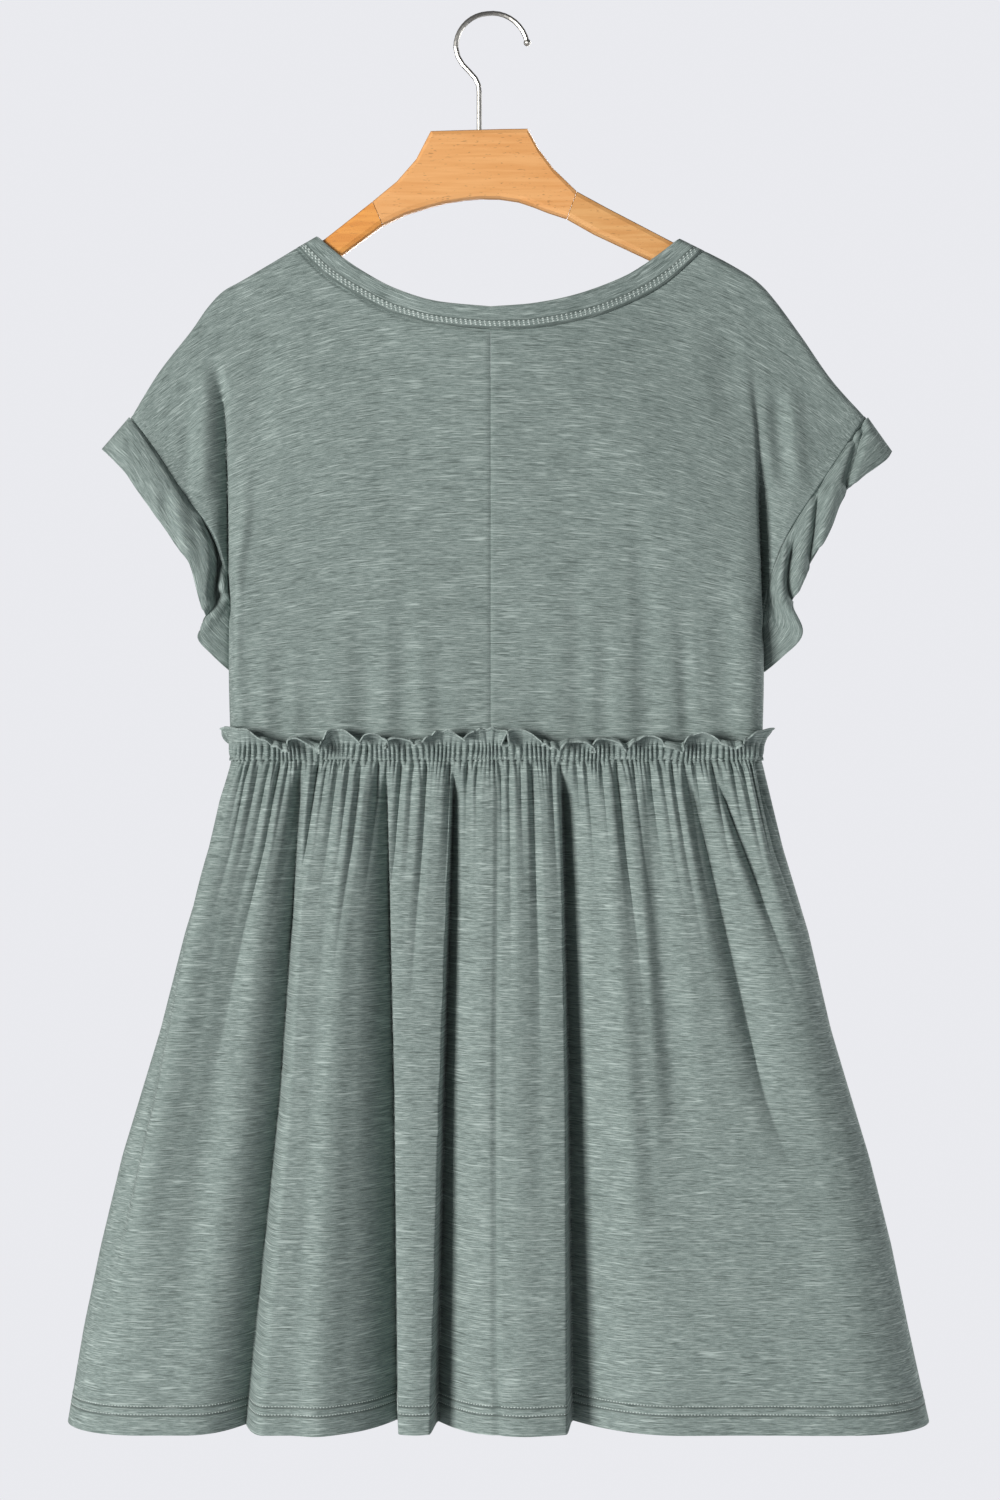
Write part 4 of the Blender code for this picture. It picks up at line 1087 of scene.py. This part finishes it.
def hem_stitches(name, points, drops, towards, thread):
    """Two rows of stitches along the turned-up hem."""
    rows = []
    for k, drop in enumerate(HEM_STITCHES):
        above = np.searchsorted(drops, drop) - 1
        share = (drop - drops[above]) / (drops[above + 1] - drops[above])
        path = points[above] + (points[above + 1] - points[above]) * share
        path = path[2:-2]
        way = np.gradient(path, axis=0)
        outward = np.stack([-towards * way[:, 1], towards * way[:, 0], 0.0 * way[:, 0]], axis=1)
        if outward[len(outward) // 2][1] * towards < 0.0:
            outward = -outward
        path = path + 0.12 * MM * outward / np.linalg.norm(outward, axis=1)[:, None]
        rows.append(stitch_marks(path, outward, HEM_STITCH, k))
    stitch_object(name + "_hem_stitches", rows, thread)


def hem_ridge(points, drops, towards):
    """The turned-up hem stands a little proud of the cloth above it, but not at the side seams."""
    inside = smooth((drops - HEM_ROWS[0]) / 1.2)
    dips = sum(bump((drops - row) / 1.4) for row in HEM_STITCHES)
    off_side = smooth(np.abs(points[..., 1]) / (4.0 * MM))
    points[..., 1] += towards * (HEM_PROUD * inside - HEM_DIP * dips)[:, None] * off_side


def frill_points(back, shares, levels):
    """The ruched band and the frill above it: rows from the free edge down."""
    left, right = SKIRT_WIDTHS[0].left * MM, SKIRT_WIDTHS[0].right * MM
    ss, aa = np.meshgrid(shares, levels)
    x, y, lean_x, lean_y = section(ss, left, right, WAIST_DEPTH, SIDE_ROUND)
    if back:
        wave = Line([(row.x, row.rise) for row in FRILL_BACK])
        order = np.argsort(wave.values[:, 0])
        rise = np.interp(x / MM, wave.values[order, 0], wave.values[order, 1])
    else:
        shape = 0.5 + 0.5 * np.cos(2 * pi * FRONT_FRILL_WAVES * ss + 1.2 * np.sin(9.0 * ss))
        rise = 6.0 + 16.0 * shape * (0.8 + 0.2 * np.sin(9.0 * ss + 1.0))
        rise = rise + (23.0 - rise) * (1.0 - smooth(np.minimum(ss, 1 - ss) * 18.0))
    band_top = FRILL_BAND - BAND_LOSS * smooth((12.0 - rise) / 8.0)
    free = FRILL_HEIGHT - band_top
    wanted = np.clip((rise - band_top) / free, 0.01, 0.995)
    angles = np.linspace(0.05, pi, 60)
    bent = np.interp(-wanted, -np.sin(angles) / angles, angles)
    upper = np.clip((aa * FRILL_HEIGHT - band_top) / free, 0.0, 1.0)
    lower = np.clip(aa * FRILL_HEIGHT / band_top, 0.0, 1.0)
    grooves = ruching(x / MM, aa * FRILL_HEIGHT)
    foot = FOOT_HIGH - FOOT_DROP * (1.0 - grooves)
    z = foot + (band_top - foot) * lower + free * np.sin(bent * upper) / bent
    out = BAND_BULGE * np.sin(pi / 2 * lower ** 0.8) - FOOT_IN
    out = out + free * (1.0 - np.cos(bent * upper)) / bent
    fading = 1.0 - 0.85 * smooth((aa * FRILL_HEIGHT - band_top + 1.0) / 7.0)
    out = out - RUCHE_DEPTH * grooves * fading * (0.45 + 0.55 * smooth(lower * 2.5))
    ripple = np.sin(x / MM / 1.35 + 2.3 * np.sin(x / MM / 6.1)) * np.sin(x / MM / 14.0 + 1.0)
    out = out + RIPPLE_OUT * ripple * upper
    z = z + RIPPLE_UP * ripple * upper ** 2
    out = out - EDGE_GROOVE * bump((aa - 0.905) / 0.03) + EDGE_PROUD * smooth((aa - 0.92) / 0.03)
    steep = np.gradient(rise, axis=1) / np.maximum(np.gradient(x, axis=1) / MM, 0.05)
    sway = SWAY * np.sin(x / MM / 5.3 + 1.7 * np.sin(x / MM / 11.0))
    sway = (sway - SWAY_OF_SLOPE * np.clip(steep, -1.4, 1.2)) * upper ** 1.5
    x = x + lean_x * out * MM + sway * MM * (1.0 - np.abs(lean_x))
    y = y + lean_y * out * MM
    return np.stack([x, -y if back else y, WAIST_Z + z * MM], axis=-1)


def make_frill(jersey, edge_highlight):
    """The gathered heading over the waist's elastic, a closed ring."""
    edge_levels = (1.0, 0.97, 0.94, 0.92, 0.905, 0.89)
    levels = np.concatenate([edge_levels, np.linspace(0.86, 0.34, 12), np.linspace(0.29, 0.0, 8)])
    back, front = [frill_points(is_back, (np.arange(count) + 0.5) / count, levels)
                   for is_back, count in ((True, FRILL_BACK_COLUMNS), (False, FRILL_FRONT_COLUMNS))]
    points = np.concatenate([back, front[:, ::-1]], axis=1)
    round_it = lengths_round(points[len(edge_levels)])
    cut = np.stack(np.meshgrid(round_it, (levels - 1.0) * FRILL_HEIGHT * MM), axis=-1)
    piece = sheet_object("waist_frill_cloth", points, cut, jersey, FRILL_WALL, True, edge_highlight)
    dress_up(piece, ["waist_frill"])


class Value:
    """A socket that takes part in Python sums, each of which adds a Math node."""

    def __init__(self, tree, socket):
        self.tree = tree
        self.socket = socket

    def math(self, operation, first, second):
        return node(self.tree, "ShaderNodeMath", {"operation": operation}, first, second)

    def __add__(self, other):
        return self.math("ADD", self, other)

    def __sub__(self, other):
        return self.math("SUBTRACT", self, other)

    def __rsub__(self, other):
        return self.math("SUBTRACT", other, self)

    def __mul__(self, other):
        return self.math("MULTIPLY", self, other)

    def __truediv__(self, other):
        return self.math("DIVIDE", self, other)

    def __rtruediv__(self, other):
        return self.math("DIVIDE", other, self)

    __radd__ = __add__
    __rmul__ = __mul__

    def step(self, low, high):
        """0 below low, 1 above high, eased between."""
        settings = {"interpolation_type": "SMOOTHSTEP"}
        return node(self.tree, "ShaderNodeMapRange", settings, self, low, high, 0.0, 1.0)


def feed(tree, socket, value):
    """Links a value to a socket, or sets a constant on it."""
    if isinstance(value, Value):
        tree.links.new(value.socket, socket)
    elif value is not None:
        socket.default_value = value


def feed_named(tree, target, named):
    """Feeds the sockets of a node by name, with _ for each space."""
    for key, value in named.items():
        feed(tree, target.inputs[key.replace("_", " ")], value)


def node(tree, kind, settings, *inputs, output=0, **named):
    """Adds a node: its settings first, then its sockets in order or by name."""
    made = tree.nodes.new(kind)
    for key, value in settings.items():
        setattr(made, key, value)
    for socket, value in zip(made.inputs, inputs):
        feed(tree, socket, value)
    feed_named(tree, made, named)
    return Value(tree, made.outputs[output])


def mix(tree, factor, first, second):
    """A colour mix of two colours: the first socket, and those for colours."""
    unused = [None] * 5
    return node(tree, "ShaderNodeMix", {"data_type": "RGBA"}, factor, *unused, first, second, output=2)


def stretched(tree, place, scale, shift=(0.0, 0.0, 0.0), turn=(0.0, 0.0, 0.0)):
    """Coordinates turned, scaled and moved."""
    return node(tree, "ShaderNodeMapping", {"vector_type": "POINT"}, place, shift, turn, scale)


def noise(tree, place, detail=2.0, roughness=0.5, distortion=0.0):
    """Smooth noise at a place."""
    return node(tree, "ShaderNodeTexNoise", {"noise_dimensions": "3D"}, Vector=place, Scale=1.0,
                Detail=detail, Roughness=roughness, Distortion=distortion)


def new_material(name):
    """A material, its nodes and its shader."""
    made = bpy.data.materials.new(name)
    made.use_nodes = True
    tree = made.node_tree
    return made, tree, tree.nodes["Principled BSDF"]


def cut_place(tree):
    """The place in the flat cut of the cloth."""
    return node(tree, "ShaderNodeUVMap", {"uv_map": "cut"})


def solid_place(tree):
    """The place in the solid."""
    return node(tree, "ShaderNodeTexCoord", {}, output=3)


def slub_jersey(name, painted_shadow_rows=()):
    """Grey-green jersey knitted from uneven yarn: short pale and dark streaks across the cloth.

    Along given rows down the cut it has thin painted shadow lines, for the shade of the stitched rows'
    grooves.
    """
    made, tree, shader = new_material(name)
    cut = cut_place(tree)

    def streaks(long, thick, shift, detail=1.0):
        return noise(tree, stretched(tree, cut, (long, thick, 1.0), shift), detail, 0.5, 0.25)

    patches = noise(tree, stretched(tree, cut, (30.0, 55.0, 1.0), (1.0, 5.0, 3.0)), 2.0)
    speckle = noise(tree, stretched(tree, cut, (1100.0, 1500.0, 1.0)), 2.0, 0.6)
    heather = streaks(170.0, 2300.0, (4.0, 1.0, 6.0), 2.0)
    often = (patches - 0.5) * 0.10
    pale = (streaks(44.0, 1050.0, (0.0, 0.0, 0.0)) + often).step(0.585, 0.70)
    pale_too = (streaks(58.0, 1250.0, (3.0, 7.0, 2.0)) + often).step(0.60, 0.72)
    pale_short = streaks(95.0, 1500.0, (5.0, 2.0, 8.0)).step(0.59, 0.72)
    dark = streaks(52.0, 1000.0, (9.0, 4.0, 5.0)).step(0.56, 0.70)
    dark_short = streaks(90.0, 1400.0, (2.0, 9.0, 1.0)).step(0.56, 0.72)
    tone = mix(tree, patches.step(0.3, 0.7), JERSEY_BASE, JERSEY_BASE_TOO)
    tone = mix(tree, heather.step(0.36, 0.66) * 0.42, tone, JERSEY_PALE)
    tone = mix(tree, (1.0 - speckle).step(0.42, 0.66) * 0.30, tone, JERSEY_DARK)
    for mask, strength, color in ((dark, 0.60, JERSEY_DARK), (dark_short, 0.40, JERSEY_DARK),
                                  (pale_short, 0.45, JERSEY_PALE), (pale_too, 0.70, JERSEY_PALE),
                                  (pale, 0.85, JERSEY_PALE)):
        tone = mix(tree, mask * strength, tone, color)
    down = node(tree, "ShaderNodeSeparateXYZ", {}, cut, output=1)
    # Painted shadow: a thin dark line at each given row down the cut
    for row in painted_shadow_rows:
        beside = (down - row) * (down - row) / (SHADOW_LINE_WIDTH * SHADOW_LINE_WIDTH)
        tone = mix(tree, (1.0 - beside.step(0.1, 1.0)) * 0.55, tone, PAINTED_SEAM_SHADOW)
    height = pale * 0.6 + pale_too * 0.4 - dark * 0.5 + speckle * 0.4
    feed_named(tree, shader, {
        "Base Color": tone,
        "Roughness": 0.88 - pale * 0.08,
        "Normal": node(tree, "ShaderNodeBump", {}, Strength=0.6, Distance=0.4 * MM, Height=height),
        "Sheen Weight": 0.15,
        "Sheen Roughness": 0.45,
        "Sheen Tint": (0.85, 0.93, 0.90, 1.0),
        "Specular IOR Level": 0.25,
    })
    return made


def sewing_thread():
    """Matt grey-green thread, a little paler than the cloth."""
    made, tree, shader = new_material("sewing_thread")
    place = solid_place(tree)
    fibres = noise(tree, stretched(tree, place, (900.0, 900.0, 900.0)), 1.0)
    tone = mix(tree, fibres.step(0.35, 0.65), THREAD, THREAD_PALE)
    feed_named(tree, shader, {"Base Color": tone, "Roughness": 0.7})
    return made


def frill_edge_highlight():
    """The frill's free edge, paler than the jersey: a painted highlight along it."""
    made, tree, shader = new_material("frill_edge_highlight")
    cut = cut_place(tree)
    # Painted highlight, broken into paler and less pale patches
    stitches = noise(tree, stretched(tree, cut, (700.0, 300.0, 1.0)), 1.0)
    tone = mix(tree, 0.25 + stitches.step(0.3, 0.7) * 0.5, JERSEY_BASE, JERSEY_PALE)
    feed_named(tree, shader, {"Base Color": tone, "Roughness": 0.85})
    return made


def beech_wood(name, turn, light, deep):
    """Lacquered beech: a soft grain along the piece with small brown flecks."""
    made, tree, shader = new_material(name)
    place = solid_place(tree)

    def grain_noise(scale, shift, *looks):
        return noise(tree, stretched(tree, place, scale, shift, (0.0, turn, 0.0)), *looks)

    grain = grain_noise((14.0, 260.0, 260.0), (0.0, 0.0, 0.0), 4.0, 0.55, 0.4)
    fine = grain_noise((60.0, 1500.0, 1500.0), (0.0, 0.0, 0.0), 2.0)
    flecks = grain_noise((240.0, 1100.0, 1100.0), (2.0, 3.0, 1.0), 1.0)
    tone = mix(tree, grain.step(0.35, 0.68), light, deep)
    tone = mix(tree, fine.step(0.45, 0.8) * 0.25, tone, deep)
    tone = mix(tree, flecks.step(0.66, 0.74) * 0.55, tone, BEECH_FLECKS)
    height = grain + fine * 0.5
    feed_named(tree, shader, {
        "Base Color": tone,
        "Roughness": 0.36 + grain * 0.12,
        "Normal": node(tree, "ShaderNodeBump", {}, Strength=0.12, Distance=0.2 * MM, Height=height),
        "Coat Weight": 0.25,
        "Coat Roughness": 0.22,
    })
    return made


def nickel_wire():
    """Polished nickel plate with faint handling marks."""
    made, tree, shader = new_material("nickel_wire")
    place = solid_place(tree)
    marks = noise(tree, stretched(tree, place, (180.0, 180.0, 500.0)), 3.0, 0.6)
    tone = mix(tree, marks.step(0.4, 0.7), NICKEL, NICKEL_DULL)
    feed_named(tree, shader, {"Base Color": tone, "Roughness": 0.28 + marks * 0.14, "Metallic": 1.0})
    return made


def paint_node(name, material):
    """Gives a solid that stays its finish."""
    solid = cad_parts[name]
    solid.data.materials.clear()
    solid.data.materials.append(material)


def pixel_place(x, y):
    """A pixel of the photo in the plane of the hanger, in metres."""
    return (x - ORIGIN_PIXEL[0]) * PIXEL, (ORIGIN_PIXEL[1] - y) * PIXEL


def make_camera():
    """A camera square on to the back, that frames the dress as the photo does."""
    x, z = pixel_place(PHOTO_WIDTH / 2, PHOTO_HEIGHT / 2)
    data = bpy.data.cameras.new("camera")
    data.sensor_width = SENSOR
    data.lens = SENSOR * CAMERA_AWAY / (PHOTO_HEIGHT * PIXEL)
    data.clip_end = FARTHEST
    camera = new_object("camera", data)
    camera.location = (x, -CAMERA_AWAY, z)
    camera.rotation_euler = (pi / 2, 0.0, 0.0)
    bpy.context.scene.camera = camera


def area_light(name, place, size, power, color):
    """A square soft light, aimed at the middle of the dress."""
    data = bpy.data.lights.new(name, "AREA")
    data.shape = "SQUARE"
    data.size = size
    data.energy = power
    data.color = color
    light = new_object(name, data)
    light.location = place
    light.rotation_euler = (LIT_MIDDLE - Vector(place)).to_track_quat("-Z", "Y").to_euler()


def make_studio():
    """A small pale floor below, a pale surround, and soft lights: the main one from the left."""
    bpy.ops.mesh.primitive_plane_add(size=FLOOR_SIZE, location=(0.0, 0.0, FLOOR_Z))
    floor = bpy.context.object
    floor.name = "floor"
    made, tree, shader = new_material("floor_paint")
    feed_named(tree, shader, {"Base Color": FLOOR_PAINT, "Roughness": 0.9})
    floor.data.materials.append(made)
    world = bpy.data.worlds.new("surround")
    world.use_nodes = True
    tree = world.node_tree
    seen = tree.nodes["Background"]
    feed_named(tree, seen, {"Color": SURROUND})
    lit = node(tree, "ShaderNodeBackground", {}, SURROUND_LIGHT, AMBIENT)
    to_camera = node(tree, "ShaderNodeLightPath", {})
    both = node(tree, "ShaderNodeMixShader", {}, to_camera, lit, Value(tree, seen.outputs[0]))
    feed_named(tree, tree.nodes["World Output"], {"Surface": both})
    bpy.context.scene.world = world
    bpy.context.scene.view_settings.view_transform = "Standard"
    for row in LIGHTS:
        area_light(*row)


def main():
    """Builds the studio, the cloth and the hanger's finishes."""
    make_camera()
    make_studio()
    jersey = slub_jersey("slub_jersey_cloth")
    # Painted shadow lines under the hem's stitch rows and beside the neck band's stitches
    hem_shadow_lines = [SKIRT_CUT_TOP - (drop + SHADOW_BELOW_STITCH) * MM for drop in HEM_STITCHES]
    hem_shadowed = slub_jersey("hem_shadowed_slub_jersey", hem_shadow_lines)
    band_shadowed = slub_jersey("band_shadowed_slub_jersey", [-share * BAND_WIDTH for share in BAND_SHADOW_LINES])
    thread = sewing_thread()
    make_bodice(jersey)
    make_neck_band(band_shadowed, thread)
    make_cuffs(jersey)
    make_skirt(hem_shadowed, thread)
    make_frill(jersey, frill_edge_highlight())
    paint_node("hanger_centre", beech_wood("centre_beech", 0.0, *CENTRE_BEECH))
    paint_node("hanger_arm_left", beech_wood("left_arm_beech", radians(35.0), *LEFT_BEECH))
    paint_node("hanger_arm_right", beech_wood("right_arm_beech", radians(-28.0), *RIGHT_BEECH))
    paint_node("hook", nickel_wire())


main()
